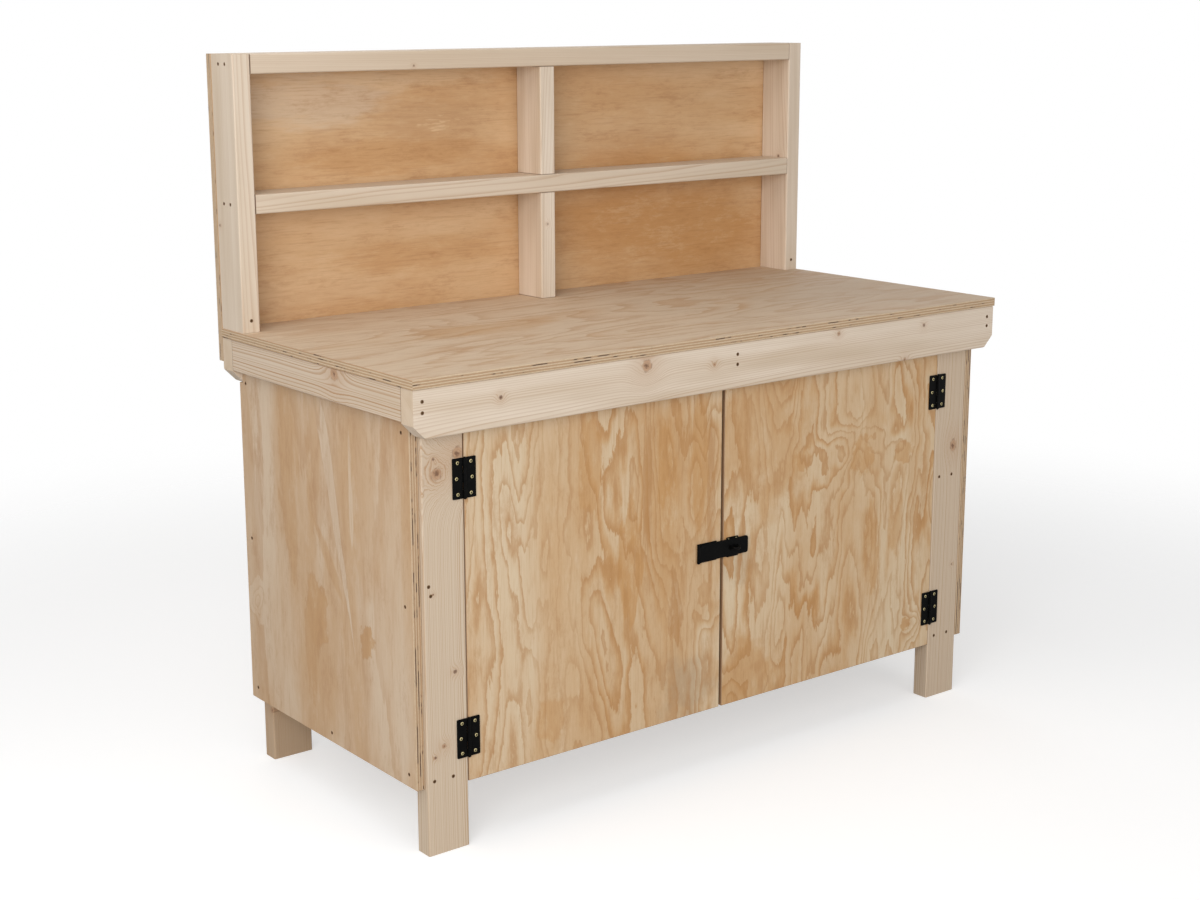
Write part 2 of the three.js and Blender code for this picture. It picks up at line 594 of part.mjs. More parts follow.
// The hasp on the left door and the staple on the right door
function addHasp(parent) {
  const hasp = new THREE.Group();
  hasp.position.set(haspPinX, legFrontY - HAIRLINE - HASP_BARREL_RADIUS, HASP_HEIGHT);
  const plateEdgeZ = HASP_PLATE_HEIGHT / 2 - HASP_SCREW_INSET;
  const plateEdgeX = [HASP_BARREL_RADIUS + HASP_SCREW_INSET, HASP_PLATE_REACH - HASP_SCREW_INSET];
  const plateHoles = plateEdgeX.flatMap((x) => [-plateEdgeZ, plateEdgeZ]
    .map((z) => countersink(x, z, haspPlateBackY, HASP_THICK)));
  addPiece(hasp, 'hasp_plate', haspLeaf({
    reach: HASP_PLATE_REACH,
    leafHeight: HASP_PLATE_HEIGHT,
    backY: haspPlateBackY,
    first: 0,
    corner: HASP_CORNER_RADIUS,
    holes: plateHoles,
  }), BLACK_STEEL);
  addPiece(hasp, 'hasp_strap', haspLeaf({
    reach: HASP_STRAP_REACH,
    leafHeight: HASP_STRAP_HEIGHT,
    backY: strapBackY,
    first: 1,
    corner: HASP_STRAP_CORNER,
    holes: [strapSlot()],
  }), BLACK_STEEL);
  const pin = pinGeometry(HASP_PLATE_HEIGHT, HASP_PIN_RADIUS, HASP_PIN_OVERRUN);
  addPiece(hasp, 'hasp_pin', pin, BRIGHT_STEEL);
  const staplePlateEndX = staplePlateX + STAPLE_PLATE_WIDTH;
  const stapleEdgeX = [staplePlateX + STAPLE_SCREW_INSET, staplePlateEndX - STAPLE_SCREW_INSET];
  const stapleEdgeZ = STAPLE_PLATE_HEIGHT / 2 - STAPLE_SCREW_INSET;
  const stapleHoles = stapleEdgeX.flatMap((x) => [-stapleEdgeZ, stapleEdgeZ]
    .map((z) => countersink(x, z, haspPlateBackY, HASP_THICK)));
  const rodHole = holeRadius(STAPLE_ROD_RADIUS, ROD_SEAT_GAP, BARREL_SIDES);
  for (const x of pair(stapleX, STAPLE_LEG_SPACING)) {
    stapleHoles.push(bar('y', [x, haspPlateBackY, 0], 4 * HASP_THICK, rodHole, BARREL_SIDES));
  }
  const staplePlate = plate(
    [staplePlateX, staplePlateEndX],
    [-STAPLE_PLATE_HEIGHT / 2, STAPLE_PLATE_HEIGHT / 2],
    haspPlateBackY, HASP_THICK, HASP_CORNER_RADIUS);
  addPiece(hasp, 'staple_plate', cut(staplePlate, stapleHoles), BLACK_STEEL);
  addPiece(hasp, 'staple', stapleGeometry(haspPlateBackY), BLACK_STEEL);
  parent.add(hasp);
}

const workbench = new THREE.Group();
addLegs(workbench);
addTopFrame(workbench);
addCabinet(workbench);
addBackUnit(workbench);
addDoors(workbench);
addHasp(workbench);

export default workbench;
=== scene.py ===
"""Finishes, screws and studio for a timber workbench with a doored cabinet and a shelved back unit."""

import math
from functools import partialmethod
from typing import NamedTuple

import bpy
from bpy.props import FloatProperty, FloatVectorProperty, IntProperty, PointerProperty
from mathutils import Matrix, Vector


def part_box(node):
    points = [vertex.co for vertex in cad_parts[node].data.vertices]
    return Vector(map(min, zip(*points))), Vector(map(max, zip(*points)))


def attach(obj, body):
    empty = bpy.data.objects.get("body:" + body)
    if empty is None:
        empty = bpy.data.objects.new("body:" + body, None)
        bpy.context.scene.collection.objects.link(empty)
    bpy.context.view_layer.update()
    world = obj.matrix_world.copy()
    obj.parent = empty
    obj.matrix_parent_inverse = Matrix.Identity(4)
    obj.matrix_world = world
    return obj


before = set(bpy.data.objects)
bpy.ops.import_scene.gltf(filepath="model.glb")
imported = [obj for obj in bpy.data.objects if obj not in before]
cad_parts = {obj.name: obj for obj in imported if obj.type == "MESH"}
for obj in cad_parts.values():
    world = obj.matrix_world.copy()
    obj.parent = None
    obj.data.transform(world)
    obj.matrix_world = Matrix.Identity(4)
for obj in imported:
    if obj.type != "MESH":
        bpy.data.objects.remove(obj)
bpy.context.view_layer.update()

bl_info = {
    "name": "Workbench with cabinet doors",
    "version": (1, 0, 0),
    "blender": (4, 5, 0),
    "location": "3D View > Sidebar > Workbench",
    "description": "Dresses the workbench's solids with timber, plywood and black ironmongery",
    "category": "Object",
}

MM = 0.001
AXES = "xyz"
SIDES = ("left", "right")
LEVELS = ("upper", "lower")
FRONT = Vector((0, -1, 0))
OUTWARD = {"left": Vector((-1, 0, 0)), "right": Vector((1, 0, 0))}


def srgb(red, green, blue):
    """A display colour from 0 to 255 as the scene's linear colour."""
    def linear(value):
        share = value / 255
        return share / 12.92 if share <= 0.04045 else ((share + 0.055) / 1.055) ** 2.4
    return (linear(red), linear(green), linear(blue), 1.0)


# Settings that a user would change


def colour(name, description, red, green, blue):
    return FloatVectorProperty(
        name=name, description=description, subtype="COLOR", size=4,
        min=0.0, max=1.0, default=srgb(red, green, blue))


def length(name, description, millimetres):
    return FloatProperty(
        name=name, description=description, unit="LENGTH", subtype="DISTANCE",
        min=0.0, precision=5, default=millimetres * MM)


def share(name, description, value):
    return FloatProperty(
        name=name, description=description, subtype="FACTOR", min=0.0, max=1.0, default=value)


def power(name, description, watts):
    return FloatProperty(name=name, description=description, unit="POWER", default=watts)


def angle(name, description, degrees):
    return FloatProperty(
        name=name, description=description, subtype="ANGLE", default=math.radians(degrees))


class TimberSettings(bpy.types.PropertyGroup):
    """Planed softwood of the frame, aprons and back unit"""

    earlywood: colour("Earlywood", "Pale wood between the ring lines", 225, 210, 192)
    latewood: colour("Latewood", "Ring lines", 170, 129, 88)
    shade: colour("Shade", "Slow darker drifts along a board", 198, 178, 153)
    end_grain: colour("End grain", "Sawn ends", 198, 172, 140)
    knot: colour("Knot", "Body of a knot", 176, 132, 94)
    knot_core: colour("Knot core", "Core and rim of a knot", 96, 60, 38)
    # Colour of the dark sink liners, painted shade between a screw head and the wall of its sink.
    sink: colour("Bruised wood", "Walls of the screw sinks", 92, 60, 34)
    ring_width: length("Ring width", "Usual distance between ring lines", 3.2)
    roughness: share("Roughness", "Gloss of the planed faces", 0.58)


class SheetSettings(bpy.types.PropertyGroup):
    """Softwood plywood of the worktop, cabinet, doors and back board"""

    pale: colour("Pale veneer", "Ground of the worktop and cabinet", 208, 186, 160)
    honey: colour("Honey veneer", "Broad figure of the worktop and cabinet", 188, 149, 106)
    line: colour("Figure lines", "Narrow lines of the worktop and cabinet", 168, 124, 82)
    door_pale: colour("Pale door veneer", "Ground of the doors", 213, 191, 159)
    door_honey: colour("Honey door veneer", "Broad figure of the doors", 190, 143, 88)
    door_line: colour("Door lines", "Narrow lines of the doors", 173, 124, 71)
    warm_pale: colour("Warm veneer", "Ground of the back board", 216, 184, 145)
    warm_honey: colour("Warm figure", "Broad figure of the back board", 188, 138, 83)
    warm_line: colour("Warm lines", "Narrow lines of the back board", 158, 106, 58)
    long_layer: colour("Long layers", "Edge layers that run along the edge", 204, 182, 152)
    cross_layer: colour("Cross layers", "Edge layers that are cut across", 176, 143, 109)
    glue: colour("Glue lines", "Lines between layers, and the voids", 76, 52, 36)
    # On the doors this brown is partly the ply's own edge and partly painted shade of the edges seen in the
    # gap between the doors.
    edge_stain_and_shade: colour("Door edges", "Stain on the edges of the doors", 138, 92, 52)
    # Besides hand marks on the doors, this grey lies broad over the worktop's right end as painted shade,
    # where the light falls off.
    smudge: colour("Smudge", "Grey of a hand mark", 132, 118, 102)
    layers: IntProperty(name="Layers", description="Veneers in a full sheet", min=3, default=7)
    full_thickness: length("Full thickness", "Thickness that has all the layers", 18)
    roughness: share("Roughness", "Gloss of the sanded faces", 0.6)


class SteelSettings(bpy.types.PropertyGroup):
    """Black hinges and hasp, and the screws"""

    coat: colour("Coat", "Black finish of the hinges and hasp", 7, 7, 7)
    rubbed: colour("Rubbed coat", "Finish where it has been handled", 17, 17, 16)
    brass: colour("Brassed screws", "Heads in the hinges and hasp", 206, 192, 142)
    dull: colour("Dull screws", "Heads sunk into the wood", 120, 88, 52)
    wood_head_radius: length("Wood screw head", "Radius of a head in its sink", 3.1)
    wood_head_sink: length("Head sink", "How far a head lies under the face", 0.7)
    sink_radius: length("Sink", "Radius of a screw sink", 3.6)
    plate_head_radius: length("Plate screw head", "Radius of a head in a steel plate", 3.2)
    coat_roughness: share("Coat roughness", "Gloss of the black finish", 0.5)


class StageSettings(bpy.types.PropertyGroup):
    """Floor, light and camera"""

    floor: colour("Floor", "Pale studio floor", 206, 206, 206)
    key_power: power("Key", "Large lamp on the left", 104)
    fill_power: power("Fill", "Lamp in front", 34)
    top_power: power("Top", "Lamp overhead", 38)
    back_power: power("Back", "Lamp behind the bench", 26)
    sky: share("Sky", "Even light from all round", 0.32)
    floor_lift: share("Floor lift", "Extra white of the floor, for the camera only", 0.5)
    lens: FloatProperty(name="Lens", description="Focal length", unit="CAMERA", default=56.28)
    camera_place: FloatVectorProperty(
        name="Camera", description="Where the camera stands", unit="LENGTH",
        subtype="TRANSLATION", default=(-2.4369, -3.0095, 1.5089))
    camera_azimuth: angle("Azimuth", "Turn of the view about the vertical", -36.96)
    camera_elevation: angle("Elevation", "How far the camera looks down", 12.22)
    camera_roll: angle("Roll", "Turn of the picture", -0.37)
    camera_shift: FloatVectorProperty(
        name="Shift", description="The photograph is cropped off its optical centre",
        size=2, default=(0.0362, -0.0253))


# Node trees

COLUMN_WIDTH = 220
ROW_HEIGHT = 190
ROWS = 4


class Graph:
    """Adds nodes to a tree and hands back their sockets."""

    def __init__(self, tree):
        self.tree = tree
        self.count = 0

    def node(self, kind, values=None, **settings):
        made = self.tree.nodes.new(kind)
        made.location = (COLUMN_WIDTH * (self.count // ROWS), -ROW_HEIGHT * (self.count % ROWS))
        self.count += 1
        for name, value in settings.items():
            setattr(made, name, value)
        for socket, value in (values or {}).items():
            self.feed(made.inputs[socket], value)
        return made

    def feed(self, socket, value):
        if isinstance(value, bpy.types.NodeSocket):
            self.tree.links.new(value, socket)
        else:
            socket.default_value = value

    def math(self, operation, first, second=0.0, third=0.0):
        values = {0: first, 1: second, 2: third}
        return self.node("ShaderNodeMath", values, operation=operation).outputs[0]

    plus = partialmethod(math, "ADD")
    minus = partialmethod(math, "SUBTRACT")
    times = partialmethod(math, "MULTIPLY")
    over = partialmethod(math, "DIVIDE")
    times_plus = partialmethod(math, "MULTIPLY_ADD")
    larger = partialmethod(math, "MAXIMUM")
    above = partialmethod(math, "GREATER_THAN")

    def vector(self, operation, first, second):
        return self.node("ShaderNodeVectorMath", {0: first, 1: second}, operation=operation).outputs[0]

    moved = partialmethod(vector, "ADD")
    apart = partialmethod(vector, "SUBTRACT")
    scaled = partialmethod(vector, "MULTIPLY")

    def distance(self, vector):
        return self.node("ShaderNodeVectorMath", {0: vector}, operation="LENGTH").outputs["Value"]

    def stretch(self, vector, amount):
        return self.node("ShaderNodeVectorMath", {0: vector, "Scale": amount}, operation="SCALE").outputs[0]

    def centred(self, noise):
        """The colour of a noise as a shift to either side."""
        return self.apart(noise, (0.5, 0.5, 0.5))

    def split(self, vector):
        return self.node("ShaderNodeSeparateXYZ", {0: vector}).outputs

    def combine(self, x=0.0, y=0.0, z=0.0):
        return self.node("ShaderNodeCombineXYZ", {"X": x, "Y": y, "Z": z}).outputs[0]

    def noise(self, vector, seed=0.0, detail=2.0, roughness=0.5, twist=0.0):
        values = {
            "Vector": vector, "W": seed, "Scale": 1.0, "Detail": detail,
            "Roughness": roughness, "Distortion": twist,
        }
        return self.node("ShaderNodeTexNoise", values, noise_dimensions="4D").outputs

    def cells(self, vector, per_metre, *rest):
        """Noise with so many cells in a metre along each axis."""
        return self.noise(self.scaled(vector, per_metre), *rest)

    def chance(self, number):
        """A value from 0 to 1 of its own for each number."""
        return self.node("ShaderNodeTexWhiteNoise", {"W": number}, noise_dimensions="1D").outputs["Value"]

    def step(self, value, low, high, start=0.0, end=1.0):
        """Runs smoothly from start to end while value goes from low to high."""
        values = {"Value": value, "From Min": low, "From Max": high, "To Min": start, "To Max": end}
        return self.node("ShaderNodeMapRange", values, interpolation_type="SMOOTHSTEP").outputs["Result"]

    def mix(self, amount, first, second):
        values = {0: amount, 6: first, 7: second}
        return self.node("ShaderNodeMix", values, data_type="RGBA").outputs[2]

    def group(self, name, values):
        """A shared group, built on first use."""
        tree = bpy.data.node_groups.get(name) or GROUPS[name](name)
        return self.node("ShaderNodeGroup", values, node_tree=tree).outputs


FLOAT = "NodeSocketFloat"
VECTOR = "NodeSocketVector"


def new_group(name, vectors, values, outputs, vector_outputs=()):
    """A shader group with named sockets, and the graph, inputs and outputs to build it with."""
    tree = bpy.data.node_groups.new(name, "ShaderNodeTree")
    sockets = (
        ("INPUT", VECTOR, vectors), ("INPUT", FLOAT, values),
        ("OUTPUT", FLOAT, outputs), ("OUTPUT", VECTOR, vector_outputs))
    for side, kind, labels in sockets:
        for label in labels:
            tree.interface.new_socket(label, in_out=side, socket_type=kind)
    graph = Graph(tree)
    given = graph.node("NodeGroupInput").outputs
    result = graph.node("NodeGroupOutput").inputs
    return graph, given, result


# Cells of each pattern in a metre across a board, through it and along its grain
TIMBER_DRIFT = (12, 12, 1.3)
TIMBER_FIBRE = (900, 900, 16)
TIMBER_TONE = (26, 26, 2.2)
VENEER_RIPPLE = (15, 0, 19)
VENEER_JAG = (21, 0, 4)
VENEER_LOBES = (11, 0, 10)
VENEER_FEATHER = (140, 0, 26)
VENEER_FIBRE = (420, 420, 18)
VENEER_TONE = (8, 8, 1.2)
VENEER_MOTTLE = (30, 30, 9)
VENEER_STREAK = (170, 0, 9)
SWIRL_LOBES = 27
EDGE_WAVE = (22, 0, 22)
EDGE_FIBRE = (260, 900, 260)
EDGE_VOIDS = 21
COAT_GRAIN = (2600, 2600, 2600)
COAT_RUBBED = (120, 120, 120)
TORN_WOOD = 900

# Where in a season the dark line has closed
SEASON_END = 0.93


def build_rings(name):
    """Growth rings round a pith that runs along Z."""
    graph, given, result = new_group(
        name, ("Position", "Pith", "Lean"), ("Ring width", "Wander", "Swell", "Seed"),
        ("Latewood", "Fibre", "Tone"))
    position, seed = given["Position"], given["Seed"]
    slow = graph.cells(position, TIMBER_DRIFT, seed)["Color"]
    drift = graph.stretch(graph.centred(slow), given["Wander"])
    lean = graph.stretch(given["Lean"], graph.split(position)["Z"])
    from_pith = graph.apart(graph.apart(position, given["Pith"]), lean)
    across = graph.scaled(graph.moved(from_pith, drift), (1, 1, 0))
    growth = graph.plus(graph.over(graph.distance(across), given["Ring width"]), given["Swell"])
    uneven = graph.noise(graph.combine(graph.times(growth, 0.37)), seed, 1.0)["Fac"]
    growth = graph.plus(growth, graph.times(uneven, 3.0))
    season = graph.math("FRACT", growth)
    rise = graph.math("POWER", graph.step(season, 0.35, SEASON_END), 1.6)
    line = graph.times(rise, graph.step(season, SEASON_END, 1.0, 1.0, 0.0))
    harsh = graph.chance(graph.plus(graph.math("FLOOR", growth), seed))
    graph.feed(result["Latewood"], graph.times(line, graph.step(harsh, 0.0, 1.0, 0.35, 1.0)))
    graph.feed(result["Fibre"], graph.cells(position, TIMBER_FIBRE, seed, 3.0, 0.65)["Fac"])
    graph.feed(result["Tone"], graph.cells(position, TIMBER_TONE, seed)["Fac"])
    return graph.tree


SPOT_VECTORS = ("Position", "Centre", "Plane")
SPOT_VALUES = ("Radius", "Seed")


def from_spot(graph, given):
    """The way from a spot within its plane, in metres and in radii of the spot."""
    offset = graph.scaled(graph.apart(given["Position"], given["Centre"]), given["Plane"])
    return offset, graph.stretch(offset, graph.over(1.0, given["Radius"]))


def build_knot(name):
    """A knot with a broken rim, and how far the grain swells and steps aside for it."""
    graph, given, result = new_group(
        name, SPOT_VECTORS, SPOT_VALUES, ("Heart", "Dark", "Swell"), ("Aside",))
    offset, local = from_spot(graph, given)
    rough = graph.noise(graph.stretch(local, 1.5), given["Seed"], 3.0, 0.6)
    _, rim_noise, core_noise = graph.split(rough["Color"])
    reach = graph.times_plus(graph.minus(rough["Fac"], 0.5), 0.9, graph.distance(local))
    falloff = graph.math("POWER", graph.over(reach, 3.0), 2.0)
    near = graph.math("EXPONENT", graph.times(falloff, -1.0))
    heart = graph.step(reach, 0.7, 1.1, 1.0, 0.0)
    rings = graph.step(graph.math("PINGPONG", graph.times(reach, 2.9), 0.5), 0.28, 0.5)
    rings = graph.times(graph.times(rings, heart), 0.25)
    blotch = graph.times_plus(graph.minus(core_noise, 0.5), 1.6, reach)
    core = graph.step(blotch, 0.1, 0.6, 1.0, 0.0)
    rim = graph.times(graph.step(reach, 0.66, 0.92), graph.step(reach, 0.94, 1.2, 1.0, 0.0))
    rim = graph.times(rim, graph.step(rim_noise, 0.4, 0.65, 0.0, 0.55))
    graph.feed(result["Heart"], heart)
    graph.feed(result["Dark"], graph.larger(graph.larger(core, rim), rings))
    graph.feed(result["Swell"], near)
    graph.feed(result["Aside"], graph.stretch(offset, graph.times(near, -0.8)))
    return graph.tree


def build_swirl(name):
    """Lobed rise of the figure where a branch lay under the veneer."""
    graph, given, result = new_group(name, SPOT_VECTORS, SPOT_VALUES, ("Swell",))
    _, local = from_spot(graph, given)
    rough = graph.noise(graph.stretch(given["Position"], SWIRL_LOBES), given["Seed"], 1.5)["Color"]
    shift = graph.stretch(graph.centred(rough), 0.05)
    shift = graph.stretch(shift, graph.over(1.0, given["Radius"]))
    local = graph.moved(local, graph.scaled(shift, given["Plane"]))
    fall = graph.math("POWER", graph.distance(local), 2.0)
    graph.feed(result["Swell"], graph.math("EXPONENT", graph.times(fall, -1.0)))
    return graph.tree


def build_figure(name):
    """The figure of a peeled veneer: long flames across X that run along Z."""
    graph, given, result = new_group(
        name, ("Position",),
        ("Flames", "Stretch", "Bands", "Curl", "Jag", "Feather", "Churn", "Swell", "Seed"),
        ("Fill", "Line", "Fibre", "Tone", "Mottle", "Streak"))
    position, seed = given["Position"], given["Seed"]
    ripple = graph.cells(position, VENEER_RIPPLE, seed, 2.5, 0.6)["Color"]
    rippled = graph.moved(position, graph.stretch(graph.centred(ripple), given["Curl"]))
    jag = graph.cells(position, VENEER_JAG, graph.plus(seed, 13.0), 1.5)["Fac"]
    jag = graph.times(graph.minus(jag, 0.5), given["Jag"])
    rippled = graph.moved(rippled, graph.combine(z=jag))
    squeeze = graph.combine(1.0, 0.0, graph.over(1.0, given["Stretch"]))
    flames = graph.stretch(graph.scaled(rippled, squeeze), given["Flames"])
    field = graph.noise(flames, seed, 3.4, 0.48, 0.3)["Fac"]
    lobes = graph.cells(position, VENEER_LOBES, graph.plus(seed, 20.0), 2.0, 0.4)["Fac"]
    lobes = graph.times_plus(lobes, 0.4, 0.3)
    field = graph.plus(field, graph.times(graph.minus(lobes, field), given["Churn"]))
    feather = graph.cells(position, VENEER_FEATHER, seed, 4.0, 0.6)["Fac"]
    feather = graph.times(graph.minus(feather, 0.5), given["Feather"])
    growth = graph.plus(graph.times_plus(field, given["Bands"], feather), given["Swell"])
    season = graph.math("FRACT", growth)
    close = graph.step(season, SEASON_END, 1.0, 1.0, 0.0)
    deep = graph.chance(graph.plus(graph.math("FLOOR", growth), seed))
    patch = graph.noise(graph.stretch(flames, 1.5), graph.plus(seed, 40.0), 2.5)["Fac"]
    broad = graph.times(graph.step(patch, 0.36, 0.62, 0.3, 1.0), graph.step(deep, 0.0, 0.8, 0.15, 1.0))
    fill = graph.times(graph.step(season, 0.2, 0.75), close)
    graph.feed(result["Fill"], graph.times(fill, broad))
    line = graph.times(graph.step(season, 0.58, 0.92), close)
    graph.feed(result["Line"], graph.times(line, graph.step(patch, 0.3, 0.6, 0.45, 1.0)))
    graph.feed(result["Fibre"], graph.cells(position, VENEER_FIBRE, seed, 4.0, 0.7)["Fac"])
    graph.feed(result["Tone"], graph.cells(position, VENEER_TONE, seed, 3.0)["Fac"])
    graph.feed(result["Mottle"], graph.cells(position, VENEER_MOTTLE, seed, 8.0, 0.78)["Fac"])
    streak = graph.cells(position, VENEER_STREAK, graph.plus(seed, 7.0), 2.0, 0.6)["Fac"]
    graph.feed(result["Streak"], graph.step(streak, 0.55, 0.72))
    return graph.tree


def build_layers(name):
    """Sawn edge of a sheet: layers through its thickness Y, glue lines and voids."""
    graph, given, result = new_group(
        name, ("Position",), ("Thickness", "Layers", "Half length", "Voids", "Seed"),
        ("Edge", "Cross", "Dark", "Fibre"))
    position, seed = given["Position"], given["Seed"]
    x, y, z = graph.split(position)
    half = graph.times(given["Thickness"], 0.5)
    inside = graph.minus(half, graph.math("ABSOLUTE", y))
    graph.feed(result["Edge"], graph.above(inside, 0.1 * MM))
    wave = graph.cells(position, EDGE_WAVE, seed, 3.0)["Fac"]
    wave = graph.times(graph.minus(wave, 0.5), 0.6)
    depth = graph.over(graph.plus(y, half), given["Thickness"])
    depth = graph.times_plus(depth, given["Layers"], wave)
    layer = graph.math("FLOOR", depth)
    at_end = graph.above(graph.math("ABSOLUTE", z), graph.minus(given["Half length"], 1 * MM))
    cross = graph.math("MODULO", graph.plus(layer, graph.plus(at_end, 10.0)), 2.0)
    graph.feed(result["Cross"], cross)
    seam = graph.math("ABSOLUTE", graph.minus(graph.math("FRACT", depth), 0.5))
    spread = graph.combine(graph.times(x, EDGE_VOIDS), graph.times(layer, 5.3), graph.times(z, EDGE_VOIDS))
    gap = graph.noise(spread, seed, 3.0, 0.6)["Fac"]
    glue = graph.times(graph.step(seam, 0.36, 0.5), graph.step(gap, 0.4, 0.6, 0.12, 0.65))
    torn = graph.step(graph.minus(gap, given["Voids"]), 0.0, 0.07)
    void = graph.times(torn, graph.step(seam, 0.25, 0.42, 1.0, 0.0))
    graph.feed(result["Dark"], graph.larger(glue, graph.times(void, cross)))
    graph.feed(result["Fibre"], graph.cells(position, EDGE_FIBRE, seed, 3.0)["Fac"])
    return graph.tree


def build_coat(name):
    """Sprayed black finish: fine grain, and patches where hands have rubbed it."""
    graph, given, result = new_group(name, ("Position",), ("Seed",), ("Grain", "Rubbed"))
    position, seed = given["Position"], given["Seed"]
    graph.feed(result["Grain"], graph.cells(position, COAT_GRAIN, seed)["Fac"])
    rubbed = graph.cells(position, COAT_RUBBED, seed, 4.0, 0.65)["Fac"]
    graph.feed(result["Rubbed"], graph.step(rubbed, 0.5, 0.75))
    return graph.tree


GROUPS = {
    "Annual rings": build_rings, "Knot": build_knot, "Veneer swirl": build_swirl,
    "Veneer figure": build_figure, "Sheet edge": build_layers, "Black coat": build_coat,
}


def new_material(name, roughness):
    """A material with its graph, shader and object coordinates."""
    material = bpy.data.materials.new(name)
    material.use_nodes = True
    material.node_tree.nodes.clear()
    graph = Graph(material.node_tree)
    place = graph.node("ShaderNodeTexCoord").outputs["Object"]
    shader = graph.node("ShaderNodeBsdfPrincipled")
    shader.inputs["Roughness"].default_value = roughness
    graph.node("ShaderNodeOutputMaterial", {"Surface": shader.outputs[0]})
    return material, graph, shader.inputs, place


def bump(graph, height, strength, millimetres):
    values = {"Strength": strength, "Distance": millimetres * MM, "Height": height}
    return graph.node("ShaderNodeBump", values).outputs[0]


def dress(node, material):
    """Gives a CAD solid its material."""
    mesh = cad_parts[node].data
    mesh.materials.clear()
    mesh.materials.append(material)


# A board's own axes: X across its width, Y through its thickness, Z along its grain


class Board(NamedTuple):
    """Where a board lies and how it is turned."""

    centre: Vector
    turn: Matrix
    half: Vector

    def inward(self, point):
        """A point in the frame, seen along the board's own axes."""
        return self.turn.transposed() @ (point - self.centre)


def board(node, grain=None):
    """The board of a node. Timber's grain follows its longest side."""
    low, high = (Vector(corner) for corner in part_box(node))
    size = high - low
    run = AXES.index(grain) if grain else max(range(3), key=lambda axis: size[axis])
    thin = min(range(3), key=lambda axis: size[axis])
    along, through = (Matrix.Identity(3).row[axis].copy() for axis in (run, thin))
    turn = Matrix((through.cross(along), through, along)).transposed()
    half = Vector(tuple(abs(value) for value in turn.transposed() @ (size / 2)))
    return Board((low + high) / 2, turn, half)


def along_board(graph, place, lie):
    values = {"Vector": place, "Location": lie.centre, "Rotation": lie.turn.to_euler()}
    return graph.node("ShaderNodeMapping", values, vector_type="TEXTURE").outputs[0]


# Timber


class Knot(NamedTuple):
    """A knot at x, y, z in mm, None along the way it goes through.

    Tall is its length over its width, and rings how many growth rings bend round it."""

    x: float
    y: float
    z: float
    radius: float
    strength: float = 0.8
    tall: float = 1.0
    rings: float = 2.5


class Timber(NamedTuple):
    """A timber's tone: how strong its ring lines are, and how far it is shaded and tanned, which on the
    rear legs is painted shade.

    A butted timber ends against another one, with a dark line in the joint: painted shade of the joint's
    gap, and its torn arris."""

    grain: float = 0.35
    shade: float = 0.0
    tan: float = 0.0
    butted: bool = False
    knots: tuple = ()


TIMBERS = {
    "front_left_leg": Timber(0.85, 0.8, knots=(
        Knot(-678, None, 717, 12, 0.95, 1.0, 5), Knot(-632, None, 749, 12, 0.95, 1.0, 5),
        Knot(-686, None, 726, 21, 0.0, 1.0, 12), Knot(-684, None, 745, 3), Knot(-673, None, 207, 5, 1.0),
        Knot(-692, None, 189, 3, 1.0), Knot(-646, None, 344, 4.2, 1.1), Knot(-690, None, 498, 2, 1.0))),
    "front_right_leg": Timber(0.7, 0.75, 0.06, knots=(
        Knot(680, None, 574, 10, 0.95, 1.4), Knot(690, None, 300, 2.4, 0.7))),
    # The rear legs are shaded and tanned in full: painted shade, for the shadow of the cabinet over them.
    "rear_left_leg": Timber(shade=1.0, tan=0.4, knots=(Knot(None, 269, 107, 6),)),
    "rear_right_leg": Timber(shade=1.0, tan=0.4),
    "front_apron": Timber(0.55, tan=0.055, knots=(
        Knot(-229, None, 864.5, 12, 1.0, 1.0, 4), Knot(-564, None, 847, 4, 1.1),
        Knot(-60, None, 847, 4.5, 0.95), Knot(276, None, 871, 5, 0.9), Knot(529, None, 862, 4, 0.8),
        Knot(473, None, 795, 5, 0.85))),
    "rear_apron": Timber(),
    "left_apron": Timber(1.15, 0.4, 0.12, True, (Knot(None, -94, 872, 14, 1.0, 1.0, 3.5),)),
    "right_apron": Timber(butted=True),
    "centre_joist": Timber(),
    "left_bottom_rail": Timber(),
    "left_middle_rail": Timber(),
    "right_bottom_rail": Timber(),
    "right_middle_rail": Timber(),
    "left_upright": Timber(shade=0.3, knots=(Knot(None, 331, 1106, 3),)),
    "right_upright": Timber(tan=0.07, knots=(Knot(None, 283, 1172, 4),)),
    "top_rail": Timber(0.3, 0.5, 0.06, True, (Knot(-339, None, 1407, 2.5),)),
    "tool_shelf": Timber(0.5, 0.45, butted=True),
    "upper_divider": Timber(butted=True),
    "lower_divider": Timber(butted=True, knots=(Knot(-2, None, 1062, 2.4, 0.6),)),
}
# Width of the dark joint line, painted shade of the gap at a butted end
JOINT_LINE = 1.8 * MM
RING_WANDER = 12 * MM
# Radius in mm below which a knot is dark all through
PIN_KNOT = 4.5


def on_board(spot, lie):
    """Where a spot on the bench lies on its board, and the board's axes that it spreads over."""
    seen = [None if value is None else value * MM for value in (spot.x, spot.y, spot.z)]
    point = Vector(tuple(lie.centre[axis] if value is None else value for axis, value in enumerate(seen)))
    plane = Vector(tuple(0.0 if value is None else 1.0 for value in seen))
    return lie.inward(point), tuple(abs(value) for value in lie.turn.transposed() @ plane)


def knot_inputs(position, lie, knot, seed):
    centre, plane = on_board(knot, lie)
    plane = (plane[0], plane[1], plane[2] / knot.tall)
    radius = knot.radius * MM
    return {"Position": position, "Centre": centre, "Plane": plane, "Radius": radius, "Seed": seed}


